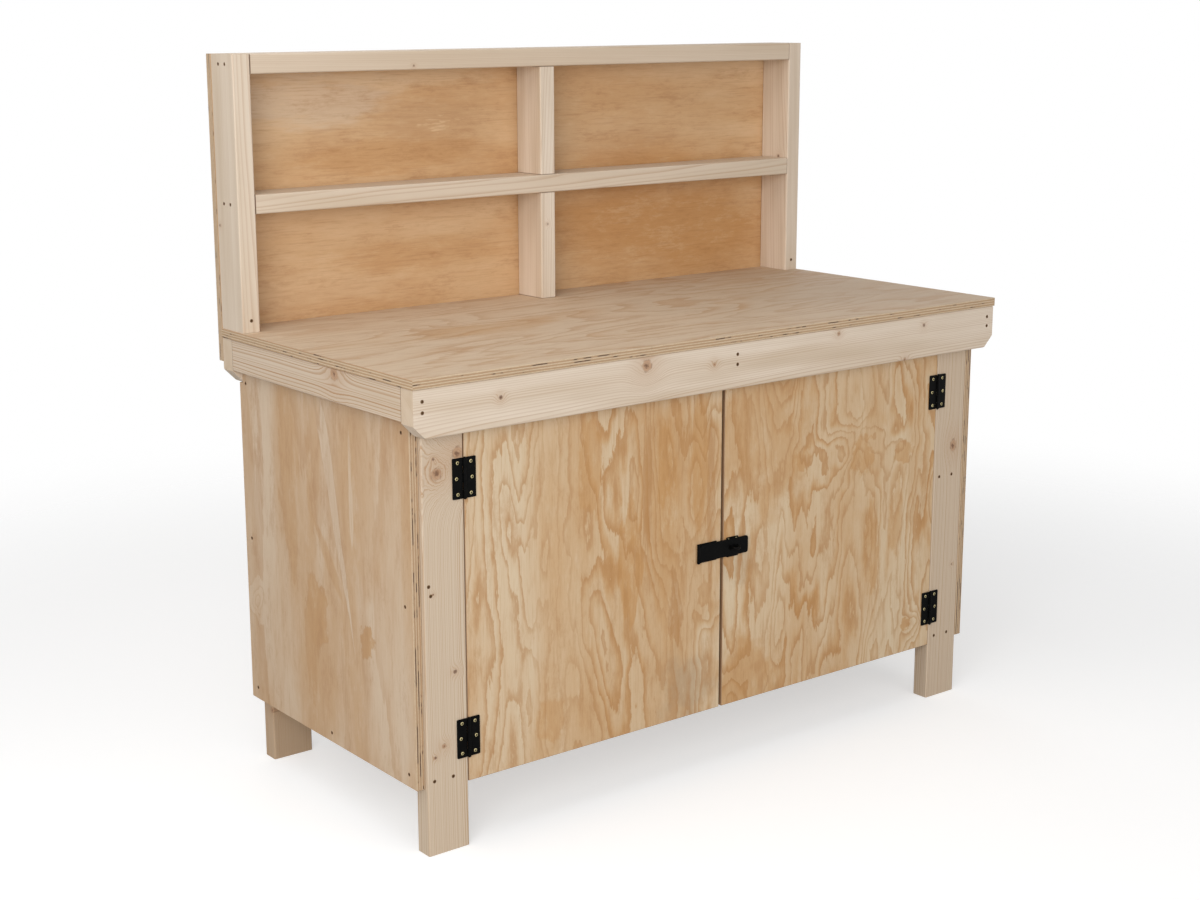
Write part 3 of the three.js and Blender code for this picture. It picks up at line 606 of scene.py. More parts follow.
def add_knots(graph, position, lie, knots, seed):
    """Knot groups on a board, the position that the grain follows round them, and their swell."""
    found = []
    grain = position
    swell = 0.0
    for count, knot in enumerate(knots):
        group = graph.group("Knot", knot_inputs(position, lie, knot, seed + count))
        found.append((knot, group))
        grain = graph.moved(grain, group["Aside"])
        swell = graph.times_plus(group["Swell"], knot.rings, swell)
    return found, grain, swell


def varied(seed, first, step, choices):
    """One of a few evenly spaced values, by a board's seed."""
    return first + step * (seed % choices)


def timber_material(node, timber, seed, settings):
    """Planed softwood cut from its own place in the log."""
    lie = board(node)
    material, graph, shader, place = new_material(f"{node}_softwood", settings.roughness)
    position = along_board(graph, place, lie)
    knots, grain, swell = add_knots(graph, position, lie, timber.knots, seed)
    side = 1 if seed % 2 else -1
    rings = graph.group("Annual rings", {
        "Position": grain,
        "Pith": (side * varied(seed, 62, 17, 5) * MM, varied(seed, 30, 13, 4) * MM, 0),
        "Lean": (varied(seed, -0.012, 0.012, 3), varied(seed, -0.018, 0.009, 5), 0),
        "Ring width": settings.ring_width * varied(seed, 0.8, 0.13, 4),
        "Wander": RING_WANDER, "Swell": swell, "Seed": 3.7 * seed})
    # Each timber's shade and tan; on the rear legs both are painted shade.
    drift = graph.step(rings["Tone"], 0.35, 0.75, timber.shade, max(0.8, timber.shade))
    wood = graph.mix(drift, settings.earlywood, settings.shade)
    wood = graph.mix(timber.tan, wood, settings.latewood)
    wood = graph.mix(graph.times(rings["Latewood"], timber.grain), wood, settings.latewood)
    wood = graph.mix(graph.step(rings["Fibre"], 0.5, 0.8, 0.0, 0.35), wood, settings.shade)
    reach = graph.math("ABSOLUTE", graph.split(position)["Z"])
    end = graph.above(reach, lie.half.z - 0.2 * MM)
    wood = graph.mix(graph.times(end, 0.5), wood, settings.end_grain)
    # The dark line at a butted end is painted shade of the joint's gap, with its torn arris.
    if timber.butted:
        joint = graph.step(reach, lie.half.z - JOINT_LINE, lie.half.z, 0.0, 0.8)
        wood = graph.mix(joint, wood, settings.knot_core)
    for knot, found in knots:
        body = settings.knot_core if knot.radius < PIN_KNOT else settings.knot
        tones = (("Swell", 0.3, settings.knot), ("Heart", 0.65, body), ("Dark", 0.85, settings.knot_core))
        for mask, amount, tone in tones:
            wood = graph.mix(graph.times(found[mask], amount * knot.strength), wood, tone)
    graph.feed(shader["Base Color"], wood)
    rough = settings.roughness
    graph.feed(shader["Roughness"], graph.step(rings["Latewood"], 0.0, 1.0, rough + 0.05, rough - 0.07))
    height = graph.times_plus(rings["Latewood"], 0.6, rings["Fibre"])
    graph.feed(shader["Normal"], bump(graph, height, 0.25, 0.25))
    return material


# Plywood


class Patch(NamedTuple):
    """A patch of veneer at x, y, z in mm, its half sizes across and along the grain, and its tone.

    Edge is how softly it ends, rim how dark its outline is, lean how far it leans off the grain, and taper
    how far it runs to a point."""

    x: float
    y: float
    z: float
    across: float
    along: float
    strength: float
    tone: str
    edge: float = 0.25
    rim: float = 0.0
    lean: float = 0.0
    taper: float = 0.0


class Veneer(NamedTuple):
    """A sheet's face. Flames are per metre across the grain, and curl and jag are in mm.

    The figure swirls where it is churned, runs in rings where it is ringed, and has paler bands where it
    is calm."""

    grain: str
    flames: float
    stretch: float
    bands: float
    seed: float
    contrast: float = 0.6
    curl: float = 6
    jag: float = 0
    feather: float = 0.5
    voids: float = 0.58
    ground: float = 0.6
    mottle: float = 0.3
    streaks: float = 0.1
    edge_stain_and_shade: float = 0.0
    palette: str = ""
    churned: tuple = ()
    ringed: tuple = ()
    calm: Patch = None
    patches: tuple = ()


SIDE_PANEL = {"contrast": 0.5, "voids": 0.5, "ground": 0.75, "mottle": 0.4, "streaks": 0.2, "edge_stain_and_shade": 0.12}
# The doors' strong edge stain is partly their own darker ply and partly painted shade in the gap where they
# meet.
DOOR = {"feather": 0.9, "mottle": 0.4, "edge_stain_and_shade": 0.6, "palette": "door_"}
VENEERS = {
    "worktop": Veneer(
        "x", 3.4, 6.0, 24.0, 11.3, contrast=0.58, jag=40, voids=0.55, ground=0.0, mottle=0.32, streaks=0.4,
        patches=(
            Patch(-360, 0, None, 70, 190, 0.5, "honey"), Patch(-120, 40, None, 50, 160, 0.25, "honey"),
            Patch(-500, -150, None, 120, 260, 0.5, "pale"), Patch(-60, -120, None, 110, 260, 0.4, "pale"),
            # Painted shade: a broad grey patch darkens the worktop's right end, where the light falls off.
            Patch(560, 0, None, 500, 420, 0.22, "smudge", 0.7))),
    "bottom_shelf": Veneer("x", 5.0, 8.0, 12.0, 21.9),
    "middle_shelf": Veneer("x", 5.0, 8.0, 12.0, 27.4),
    "cabinet_back": Veneer("z", 4.0, 7.0, 9.0, 33.2),
    "left_side_panel": Veneer(
        "z", 5.0, 7.0, 6.0, 41.8, **SIDE_PANEL, ringed=(Knot(None, 272, 351, 26, 2.5),),
        patches=(
            Patch(None, 130, 660, 42, 250, 0.7, "honey", 0.15),
            Patch(None, -30, 330, 50, 220, 0.4, "honey"),
            Patch(None, 30, 720, 34, 200, 0.5, "honey", 0.15),
            Patch(None, -150, 640, 60, 240, 0.36, "honey", 0.2),
            Patch(None, -250, 560, 30, 300, 0.4, "pale", 0.2),
            Patch(None, -60, 210, 40, 110, 0.3, "pale", 0.2),
            Patch(None, 230, 600, 40, 260, 0.5, "pale", 0.2),
            Patch(None, -15, 500, 18, 80, 0.6, "honey", 0.25, 0.0, -0.7),
            Patch(None, -105, 650, 8, 120, 0.7, "pale", 0.15),
            Patch(None, -52, 575, 18, 260, 1.0, "pale", 0.12, 0.4, -0.22, 0.95),
            Patch(None, 35, 385, 46, 78, 1.0, "honey", 0.08, 0.2),
            Patch(None, -148, 373, 30, 36, 0.95, "honey", 0.08, 0.2),
            Patch(None, 60, 300, 28, 130, 0.75, "honey", 0.1),
            Patch(None, 20, 200, 150, 110, 0.3, "honey", 0.5))),
    "right_side_panel": Veneer("z", 5.0, 7.0, 6.0, 46.1, **SIDE_PANEL),
    "back_board": Veneer(
        "x", 4.5, 3.0, 3.0, 53.7, contrast=0.36, ground=0.5, mottle=0.36, streaks=0.25, palette="warm_",
        patches=(
            Patch(-560, None, 1345, 62, 230, 0.6, "cream", 0.3),
            Patch(-300, None, 1385, 28, 220, 0.6, "pale", 0.15),
            Patch(-330, None, 1225, 40, 260, 0.45, "honey"),
            Patch(420, None, 1030, 150, 420, 0.95, "honey", 0.5),
            Patch(-560, None, 960, 60, 260, 0.6, "pale", 0.4),
            Patch(-250, None, 1010, 40, 260, 0.3, "honey"),
            Patch(420, None, 1270, 120, 400, 0.25, "honey", 0.5))),
    "left_door": Veneer(
        "z", 5.0, 5.0, 25.0, 61.5, contrast=0.85, curl=12, jag=110, streaks=0.25, **DOOR,
        churned=(Knot(-40, None, 330, 60, 0.6, 2.5),),
        calm=Patch(-470, None, 440, 190, 520, 0.68, "pale", 0.5),
        patches=(
            Patch(-540, None, 420, 130, 420, 0.15, "cream"), Patch(-90, None, 520, 95, 420, 0.42, "honey"),
            Patch(-238, None, 480, 30, 150, 0.75, "honey", 0.08),
            Patch(-150, None, 640, 22, 110, 0.7, "honey", 0.1),
            Patch(-60, None, 640, 26, 150, 0.7, "honey", 0.1),
            Patch(-120, None, 360, 20, 90, 0.6, "line", 0.1),
            Patch(-195, None, 610, 13, 150, 0.55, "line", 0.15),
            Patch(-30, None, 560, 12, 190, 0.55, "line", 0.15),
            Patch(-330, None, 690, 30, 120, 0.6, "honey", 0.1),
            Patch(-430, None, 200, 40, 60, 0.5, "honey", 0.12),
            Patch(-90, None, 190, 70, 70, 0.3, "smudge", 0.5))),
    "right_door": Veneer(
        "z", 5.0, 4.6, 27.0, 68.4, contrast=0.9, curl=14, jag=80, ground=0.5, streaks=0.2, **DOOR,
        churned=(
            Knot(365, None, 600, 190, 1.0, 0.4), Knot(70, None, 165, 80, 0.9, 0.7),
            Knot(545, None, 187, 40, 0.9)),
        patches=(
            Patch(80, None, 690, 150, 190, 0.6, "honey"), Patch(70, None, 170, 90, 120, 0.7, "honey"),
            Patch(220, None, 615, 28, 30, 0.6, "honey", 0.1),
            Patch(394, None, 592, 34, 46, 0.65, "honey", 0.1),
            Patch(522, None, 584, 34, 32, 0.65, "honey", 0.1),
            Patch(430, None, 380, 26, 110, 0.6, "honey", 0.12),
            Patch(505, None, 440, 24, 100, 0.5, "honey", 0.12),
            Patch(545, None, 190, 18, 16, 0.7, "honey", 0.1),
            Patch(44, None, 422, 45, 50, 0.2, "smudge", 0.5))),
}
PATCH_REACH = 0.85
PATCH_BREAK = 2.2
LINE_STRENGTH = 0.66


def patch_mask(graph, position, lie, patch, seed):
    """The patch's strength inside it and its rim's on its edge, which is broken along the grain."""
    centre, _ = on_board(patch, lie)
    x, _, z = graph.split(graph.apart(position, centre))
    x = graph.times_plus(z, -patch.lean, x)
    up = graph.times(z, 1 / (patch.along * MM))
    width = graph.larger(graph.times_plus(up, patch.taper, 1.0), 0.02)
    side = graph.over(graph.times(x, 1 / (patch.across * MM)), width)
    spread = graph.combine(x=side, z=up)
    broken = graph.noise(graph.stretch(spread, 1.3), seed, 6.0, 0.6)["Fac"]
    reach = graph.times_plus(graph.minus(broken, 0.5), PATCH_BREAK, graph.distance(spread))
    inside = graph.step(reach, PATCH_REACH - patch.edge, PATCH_REACH + patch.edge, patch.strength, 0.0)
    gap = graph.math("ABSOLUTE", graph.minus(reach, PATCH_REACH))
    return inside, graph.step(gap, 0.0, patch.edge, patch.rim, 0.0)


def add_swirls(graph, position, lie, swirls, seed):
    """Sum of the swirls' rises, each at its own strength."""
    total = 0.0
    for count, swirl in enumerate(swirls):
        found = graph.group("Veneer swirl", knot_inputs(position, lie, swirl, seed + count))
        total = graph.times_plus(found["Swell"], swirl.strength, total)
    return total


def sheet_face(graph, position, lie, veneer, settings):
    """Colour of the peeled veneer, and its figure."""
    face = graph.group("Veneer figure", {
        "Position": position, "Flames": veneer.flames, "Stretch": veneer.stretch, "Bands": veneer.bands,
        "Curl": veneer.curl * MM, "Jag": veneer.jag * MM, "Feather": veneer.feather,
        "Churn": add_swirls(graph, position, lie, veneer.churned, veneer.seed),
        "Swell": add_swirls(graph, position, lie, veneer.ringed, veneer.seed), "Seed": veneer.seed})
    tones = {tone: getattr(settings, veneer.palette + tone) for tone in ("pale", "honey", "line")}
    tones["smudge"] = settings.smudge
    tones["cream"] = settings.pale
    ground = graph.step(face["Tone"], 0.35, 0.65, 0.0, veneer.ground)
    wood = graph.mix(ground, tones["pale"], tones["honey"])
    depth = veneer.contrast
    if veneer.calm:
        calm, _ = patch_mask(graph, position, lie, veneer.calm, veneer.seed)
        depth = graph.times_plus(calm, -depth, depth)
    wood = graph.mix(graph.times(face["Fill"], depth), wood, tones["honey"])
    for count, patch in enumerate(veneer.patches):
        inside, rim = patch_mask(graph, position, lie, patch, veneer.seed + 3.1 * count)
        wood = graph.mix(inside, wood, tones[patch.tone])
        wood = graph.mix(rim, wood, tones["line"])
    wood = graph.mix(graph.step(face["Mottle"], 0.5, 0.66, 0.0, veneer.mottle), wood, tones["line"])
    wood = graph.mix(graph.step(face["Mottle"], 0.34, 0.5, veneer.mottle, 0.0), wood, tones["pale"])
    wood = graph.mix(graph.times(face["Line"], LINE_STRENGTH * veneer.contrast), wood, tones["line"])
    wood = graph.mix(graph.times(face["Streak"], veneer.streaks), wood, tones["line"])
    wood = graph.mix(graph.step(face["Fibre"], 0.48, 0.72, 0.0, 0.3), wood, tones["line"])
    return wood, face


def sheet_material(node, veneer, settings):
    """Peeled veneer on the faces, and glued layers on the edges."""
    lie = board(node, veneer.grain)
    material, graph, shader, place = new_material(f"{node}_plywood", settings.roughness)
    position = along_board(graph, place, lie)
    wood, face = sheet_face(graph, position, lie, veneer, settings)
    thickness = 2 * lie.half.y
    count = 2 * round((settings.layers * thickness / settings.full_thickness - 1) / 2) + 1
    edge = graph.group("Sheet edge", {
        "Position": position, "Thickness": thickness, "Layers": count,
        "Half length": lie.half.z, "Voids": veneer.voids, "Seed": veneer.seed})
    layer = graph.mix(edge["Cross"], settings.long_layer, settings.cross_layer)
    layer = graph.mix(graph.step(edge["Fibre"], 0.4, 0.75, 0.0, 0.5), layer, settings.cross_layer)
    # Edge stain: on the side panels the ply's own colour, on the doors also painted shade in the gap
    # between them.
    layer = graph.mix(veneer.edge_stain_and_shade, layer, settings.edge_stain_and_shade)
    layer = graph.mix(edge["Dark"], layer, settings.glue)
    graph.feed(shader["Base Color"], graph.mix(edge["Edge"], wood, layer))
    rough = settings.roughness
    graph.feed(shader["Roughness"], graph.step(face["Fill"], 0.0, 1.0, rough + 0.04, rough - 0.05))
    grain = graph.times_plus(face["Line"], 0.4, face["Fibre"])
    sawn = graph.minus(edge["Fibre"], graph.times(edge["Dark"], 2.0))
    height = graph.times(graph.minus(sawn, grain), edge["Edge"])
    graph.feed(shader["Normal"], bump(graph, graph.plus(grain, height), 0.22, 0.25))
    return material


# Steel


def toned(tint, amount):
    """A colour made darker or lighter."""
    return tuple(min(1.0, amount * channel) for channel in tint[:3]) + (1.0,)


def coat_material(settings):
    """Satin black finish of the hinges and hasp."""
    material, graph, shader, place = new_material("black_coat", settings.coat_roughness)
    shader["Specular IOR Level"].default_value = 0.05
    coat = graph.group("Black coat", {"Position": place, "Seed": 5.0})
    graph.feed(shader["Base Color"], graph.mix(coat["Rubbed"], settings.coat, settings.rubbed))
    rough = graph.step(coat["Rubbed"], 0.0, 1.0, settings.coat_roughness, settings.coat_roughness - 0.1)
    graph.feed(shader["Roughness"], rough)
    graph.feed(shader["Normal"], bump(graph, coat["Grain"], 0.15, 0.08))
    return material


def screw_material(name, tint, roughness, metallic, shade):
    """Plated steel, dulled in patches, with painted shade in its recess."""
    material, graph, shader, place = new_material(name, roughness)
    shader["Metallic"].default_value = metallic
    coat = graph.group("Black coat", {"Position": place, "Seed": 9.0})
    recess = graph.node("ShaderNodeAttribute", attribute_name="recess").outputs["Fac"]
    plated = graph.mix(coat["Rubbed"], tint, toned(tint, 0.55))
    # Recess faces take a darker copy of the plating: painted shade.
    graph.feed(shader["Base Color"], graph.mix(recess, plated, toned(tint, shade)))
    graph.feed(shader["Roughness"], graph.step(coat["Grain"], 0.3, 0.7, roughness - 0.06, roughness + 0.1))
    return material


def sink_shade_material(tint):
    """Dark lining of a screw sink: painted shade between the head and the wall, with torn fibres."""
    material, graph, shader, place = new_material("bruised_wood", 0.8)
    torn = graph.noise(graph.stretch(place, TORN_WOOD), 2.0, 3.0)["Fac"]
    graph.feed(shader["Base Color"], graph.mix(graph.step(torn, 0.45, 0.75), tint, toned(tint, 2.2)))
    graph.feed(shader["Normal"], bump(graph, torn, 0.4, 0.2))
    return material


# Screws


class Spot(NamedTuple):
    """A screw's head: the middle of its top, and the way it faces."""

    place: Vector
    facing: Vector


# Shares of a screw head's radius
HEAD_FOOT = 0.45
HEAD_DEPTH = 0.5
CROWN_TOP = 0.72
CROWN_RISE = 0.16
RECESS_REACH = 0.6
RECESS_HALF_WIDTH = 0.32
RECESS_DEPTH = 0.42
RECESS_TIP = 0.1
TIP_DEPTH = 0.52
ROUND_SIDES = 24


def ring(radius, height):
    """Points round a circle at a height."""
    turns = [math.tau * (step - 1) / ROUND_SIDES for step in range(ROUND_SIDES)]
    return [(radius * math.cos(turn), radius * math.sin(turn), height) for turn in turns]


def cross(reach, half, height):
    """Outline of a cross recess, with as many points as a ring has."""
    between = (reach + half) / 2
    arm = ((reach, -half), (reach, 0), (reach, half), (between, half), (half, half), (half, between))
    turns = [Matrix.Rotation(math.tau * quarter / 4, 2) for quarter in range(4)]
    return [(*(turn @ Vector(point)), height) for turn in turns for point in arm]


def skin(name, loops, tube=False):
    """A closed mesh over loops of points, capped at both ends or joined round as a tube."""
    count = ROUND_SIDES
    points = [point for loop in loops for point in loop]
    levels = list(range(0, len(points), count))
    pairs = list(zip(levels, levels[1:] + levels[:1] if tube else levels[1:]))
    faces = []
    for low, high in pairs:
        for step in range(count):
            after = (step + 1) % count
            faces.append((low + step, low + after, high + after, high + step))
    if not tube:
        faces.append(tuple(reversed(range(count))))
        faces.append(tuple(range(levels[-1], len(points))))
    mesh = bpy.data.meshes.new(name)
    mesh.from_pydata(points, [], faces)
    return mesh


def screw_head(radius):
    """A countersunk head with a low crown and a cross recess, whose recess faces are marked for painted
    shade.
    """
    crown = CROWN_RISE * radius
    reach, half = RECESS_REACH * radius, RECESS_HALF_WIDTH * radius
    mesh = skin("screw_head", [
        ring(HEAD_FOOT * radius, -HEAD_DEPTH * radius), ring(radius, 0), ring(CROWN_TOP * radius, crown),
        cross(reach, half, crown), cross(reach, half, crown - RECESS_DEPTH * radius),
        ring(RECESS_TIP * radius, crown - TIP_DEPTH * radius)])
    first_wall = 3 * ROUND_SIDES
    for count, entry in enumerate(mesh.attributes.new("recess", "FLOAT", "FACE").data):
        entry.value = 1.0 if count >= first_wall else 0.0
    return mesh


def sink_wall(radius, wall, height):
    """A short tube that lines a screw sink and carries its painted shade."""
    inner = radius - wall
    loops = [ring(radius, 0), ring(radius, height), ring(inner, height), ring(inner, 0)]
    return skin("sink_wall", loops, tube=True)


def spots_tree():
    """Sets a shape on every point, turned to the way the point faces and spun about its own axis."""
    tree = bpy.data.node_groups.new("Set on spots", "GeometryNodeTree")
    sockets = (
        ("Geometry", "NodeSocketGeometry"), ("Shape", "NodeSocketObject"), ("Spin", FLOAT),
        ("Seed", "NodeSocketInt"), ("Finish", "NodeSocketMaterial"))
    for label, kind in sockets:
        tree.interface.new_socket(label, in_out="INPUT", socket_type=kind)
    tree.interface.new_socket("Geometry", in_out="OUTPUT", socket_type="NodeSocketGeometry")
    graph = Graph(tree)
    given = graph.node("NodeGroupInput").outputs
    shape = graph.node("GeometryNodeObjectInfo", {"Object": given["Shape"]}).outputs["Geometry"]
    facing = graph.node("GeometryNodeInputNamedAttribute", {"Name": "facing"}, data_type="FLOAT_VECTOR")
    faced = graph.node(
        "FunctionNodeAlignRotationToVector", {"Vector": facing.outputs["Attribute"]}, axis="Z")
    spin = graph.node(
        "FunctionNodeRandomValue", {3: given["Spin"], "Seed": given["Seed"]}, data_type="FLOAT")
    turn = graph.node("FunctionNodeAxisAngleToRotation", {"Angle": spin.outputs[1]})
    turned = graph.node(
        "FunctionNodeRotateRotation", {0: faced.outputs[0], 1: turn.outputs[0]}, rotation_space="LOCAL")
    placed = graph.node("GeometryNodeInstanceOnPoints", {
        "Points": given["Geometry"], "Instance": shape, "Rotation": turned.outputs[0]})
    solid = graph.node("GeometryNodeRealizeInstances", {"Geometry": placed.outputs[0]})
    done = graph.node(
        "GeometryNodeSetMaterial", {"Geometry": solid.outputs[0], "Material": given["Finish"]})
    graph.feed(graph.node("NodeGroupOutput").inputs["Geometry"], done.outputs[0])
    return tree


def add_object(name, data):
    made = bpy.data.objects.new(name, data)
    bpy.context.scene.collection.objects.link(made)
    return made


def on_spots(name, body, spots, shape, finish, spin=0.0, seed=0):
    """Sets a shape on the spots, keeps the result as one plain mesh and rides it on a body."""
    points = bpy.data.meshes.new(f"{name}_points")
    points.from_pydata([spot.place for spot in spots], [], [])
    facing = points.attributes.new("facing", "FLOAT_VECTOR", "POINT")
    for entry, spot in zip(facing.data, spots):
        entry.vector = spot.facing
    maker = add_object(f"{name}_maker", points)
    shape.materials.append(finish)
    pattern = add_object(f"{name}_pattern", shape)
    modifier = maker.modifiers.new("Spots", "NODES")
    modifier.node_group = bpy.data.node_groups.get("Set on spots") or spots_tree()
    values = {"Shape": pattern, "Spin": spin, "Seed": seed, "Finish": finish}
    for item in modifier.node_group.interface.items_tree:
        if item.in_out == "INPUT" and item.name in values:
            modifier[item.identifier] = values[item.name]
    bpy.context.view_layer.update()
    evaluated = maker.evaluated_get(bpy.context.evaluated_depsgraph_get())
    mesh = bpy.data.meshes.new_from_object(evaluated)
    maker.modifiers.remove(modifier)
    for used in (maker, pattern):
        data = used.data
        bpy.data.objects.remove(used)
        bpy.data.meshes.remove(data)
    if not mesh.polygons:
        raise RuntimeError(f"{name} came out empty")
    mesh.name = name
    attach(add_object(name, mesh), body)


def screw_heads(name, body, spots, radius, finish, seed):
    on_spots(name, body, spots, screw_head(radius), finish, math.pi, seed)


PLATE_THICK = 2 * MM
# Heights from the middle of a hinge and distances from its pin, in mm
HINGE_SCREWS = ((-29, 14.3), (0, 16.8), (29, 14.3))
HASP_FROM_PIN = 11.25 * MM
HASP_INSET = 8 * MM
HASP_SINK = 0.6 * MM
STAPLE_INSET = 5.5 * MM
# Places across a leg from its middle and up from a rail's underside, in mm
LEG_SCREWS = {
    "left": {"bottom": ((-30, 14), (11, 14)), "middle": ((-30, 5), (-34, 23))},
    "right": {"bottom": ((-25, 13), (16, 13)), "middle": ((-27, 18), (13, 18))},
}
APRON_SCREWS = (-10 * MM, 10 * MM)
UPRIGHT_SCREWS = (-13 * MM, 13 * MM)
UPRIGHT_FOOT_SCREW = 23.7 * MM
PANEL_SCREW_INSET = 25 * MM
SINK_DEPTH = 2.45 * MM
SINK_WALL = 0.25 * MM
SINK_WALL_HEIGHT = 2.4 * MM
SINK_PLAY = 0.05 * MM


def middle(node):
    low, high = (Vector(corner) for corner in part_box(node))
    return (low + high) / 2


def outer_face(node, side):
    """Where a node ends on the outside of the bench's left or right."""
    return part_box(node)[SIDES.index(side)][0]


def hinge_spots(side, level, leaf):
    """Three screws in a hinge leaf, the middle one set further from the pin."""
    name = f"{side}_{level}_hinge"
    pin = middle(f"{name}_pin")
    leaf_node = f"{name}_{leaf}_leaf"
    outward = 1 if middle(leaf_node).x > pin.x else -1
    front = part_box(leaf_node)[1][1] - PLATE_THICK
    return [
        Spot(Vector((pin.x + outward * reach * MM, front, pin.z + rise * MM)), FRONT)
        for rise, reach in HINGE_SCREWS]


def corner_spots(node, left, right, inset):
    """Four screws near the corners of a plate of the hasp, set flush under the strap."""
    low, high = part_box(node)
    front = high[1] - PLATE_THICK + HASP_SINK
    heights = (low[2] + inset, high[2] - inset)
    return [Spot(Vector((x, front, z)), FRONT) for x in (left, right) for z in heights]


def leg_spots(side):
    leg = f"front_{side}_leg"
    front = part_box(leg)[0][1]
    spots = []
    for level, offsets in LEG_SCREWS[side].items():
        rail_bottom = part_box(f"{side}_{level}_rail")[0][2]
        for across, rise in offsets:
            spots.append(Spot(Vector((middle(leg).x + across * MM, front, rail_bottom + rise * MM)), FRONT))
    return spots


def panel_spots(side):
    """Six screws along the edges of a side panel, and one into the bottom rail."""
    panel = f"{side}_side_panel"
    low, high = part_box(panel)
    bottom, top = low[2] + PANEL_SCREW_INSET, high[2] - PANEL_SCREW_INSET
    columns = (low[1] + PANEL_SCREW_INSET, high[1] - PANEL_SCREW_INSET)
    rail = middle(f"{side}_bottom_rail")
    seats = [(y, z) for y in columns for z in (bottom, (bottom + top) / 2, top)] + [(rail.y, rail.z)]
    return [Spot(Vector((outer_face(panel, side), y, z)), OUTWARD[side]) for y, z in seats]


def upright_spots(side):
    """Pairs of screws into the top rail and the tool shelf, and one in the upright's foot."""
    upright = f"{side}_upright"
    low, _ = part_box(upright)
    spots = []
    for node in ("top_rail", "tool_shelf"):
        for shift in UPRIGHT_SCREWS:
            place = Vector((outer_face(upright, side), middle(node).y + shift, middle(node).z))
            spots.append(Spot(place, OUTWARD[side]))
    foot = Vector((middle(upright).x, low[1], low[2] + UPRIGHT_FOOT_SCREW))
    return spots + [Spot(foot, FRONT)]


def wood_spots():
    """Heads in the sinks of the front apron, the legs, the side panels and the uprights."""
    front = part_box("front_apron")[0][1]
    spots = [
        Spot(Vector((middle(node).x, front, middle(node).z + rise)), FRONT)
        for node in ("left_apron", "centre_joist", "right_apron") for rise in APRON_SCREWS]
    for side in SIDES:
        spots += leg_spots(side) + panel_spots(side) + upright_spots(side)
    return spots


def sunk(spots, depth):
    return [Spot(spot.place - spot.facing * depth, spot.facing) for spot in spots]


# Operators


class WORKBENCH_OT_timber(bpy.types.Operator):
    """Give every timber its own planed softwood"""

    bl_idname = "workbench.timber"
    bl_label = "Timber"

    def execute(self, context):
        for seed, (node, timber) in enumerate(TIMBERS.items(), start=1):
            dress(node, timber_material(node, timber, seed, context.scene.workbench_timber))
        return {"FINISHED"}


class WORKBENCH_OT_sheets(bpy.types.Operator):
    """Give every plywood sheet its veneer and layered edges"""

    bl_idname = "workbench.sheets"
    bl_label = "Plywood"

    def execute(self, context):
        for node, veneer in VENEERS.items():
            dress(node, sheet_material(node, veneer, context.scene.workbench_sheets))
        return {"FINISHED"}


class WORKBENCH_OT_ironmongery(bpy.types.Operator):
    """Finish the hinges, the hasp and the staple in black"""

    bl_idname = "workbench.ironmongery"
    bl_label = "Hinges and hasp"

    def execute(self, context):
        coat = coat_material(context.scene.workbench_steel)
        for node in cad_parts:
            if "hinge" in node or "hasp" in node or "staple" in node:
                dress(node, coat)
        return {"FINISHED"}


class WORKBENCH_OT_screws(bpy.types.Operator):
    """Set screw heads in the wood, the hinges, the hasp and the staple plate"""

    bl_idname = "workbench.screws"
    bl_label = "Screws"

    def execute(self, context):
        steel = context.scene.workbench_steel
        timber = context.scene.workbench_timber
        # The last number sets the painted shade in each head's recess.
        brass = screw_material("brassed_screw", tuple(steel.brass), 0.5, 0.4, 0.06)
        dull = screw_material("dull_screw", tuple(steel.dull), 0.6, 0.2, 0.35)
        radius = steel.plate_head_radius
        leaves = [(side, level) for side in SIDES for level in LEVELS]
        spots = [spot for leaf in leaves for spot in hinge_spots(*leaf, "frame")]
        screw_heads("frame_hinge_screws", "bench", spots, radius, brass, 3)
        for seed, side in enumerate(SIDES, start=5):
            spots = [spot for level in LEVELS for spot in hinge_spots(side, level, "door")]
            screw_heads(f"{side}_door_hinge_screws", f"{side}_door", spots, radius, brass, seed)
        left = middle("hasp_pin").x + HASP_FROM_PIN
        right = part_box("hasp_plate")[1][0] - HASP_INSET
        spots = corner_spots("hasp_plate", left, right, HASP_INSET)
        screw_heads("hasp_plate_screws", "left_door", spots, radius, brass, 7)
        low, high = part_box("staple_plate")
        spots = corner_spots("staple_plate", low[0] + STAPLE_INSET, high[0] - STAPLE_INSET, STAPLE_INSET)
        screw_heads("staple_plate_screws", "right_door", spots, radius, brass, 8)
        spots = wood_spots()
        heads = sunk(spots, steel.wood_head_sink)
        screw_heads("wood_screws", "bench", heads, steel.wood_head_radius, dull, 9)
        # Dark liners in the sinks paint the shade between each sunk head and its wall.
        wall = sink_wall(steel.sink_radius - SINK_PLAY, SINK_WALL, SINK_WALL_HEIGHT)
        on_spots("screw_sink_walls", "bench", sunk(spots, SINK_DEPTH), wall, sink_shade_material(timber.sink))
        return {"FINISHED"}


FLOOR_RADIUS = 3.6
FLOOR_SIDES = 96
FLOOR_DROP = 0.5 * MM
FADE_START = 1.5
FADE_END = 3.2
LAMP_AIM = Vector((0, 0, 0.7))
# Each lamp's place and width
LAMPS = {
    "key": ((-3.4, -2.9, 1.9), 2.6),
    "fill": ((0.6, -4.0, 1.4), 2.4),
    "top": ((-1.8, -0.4, 3.4), 2.6),
    "back": ((1.5, 3.8, 1.5), 2.6),
}
WHITE = (1, 1, 1, 1)
SENSOR_WIDTH = 36


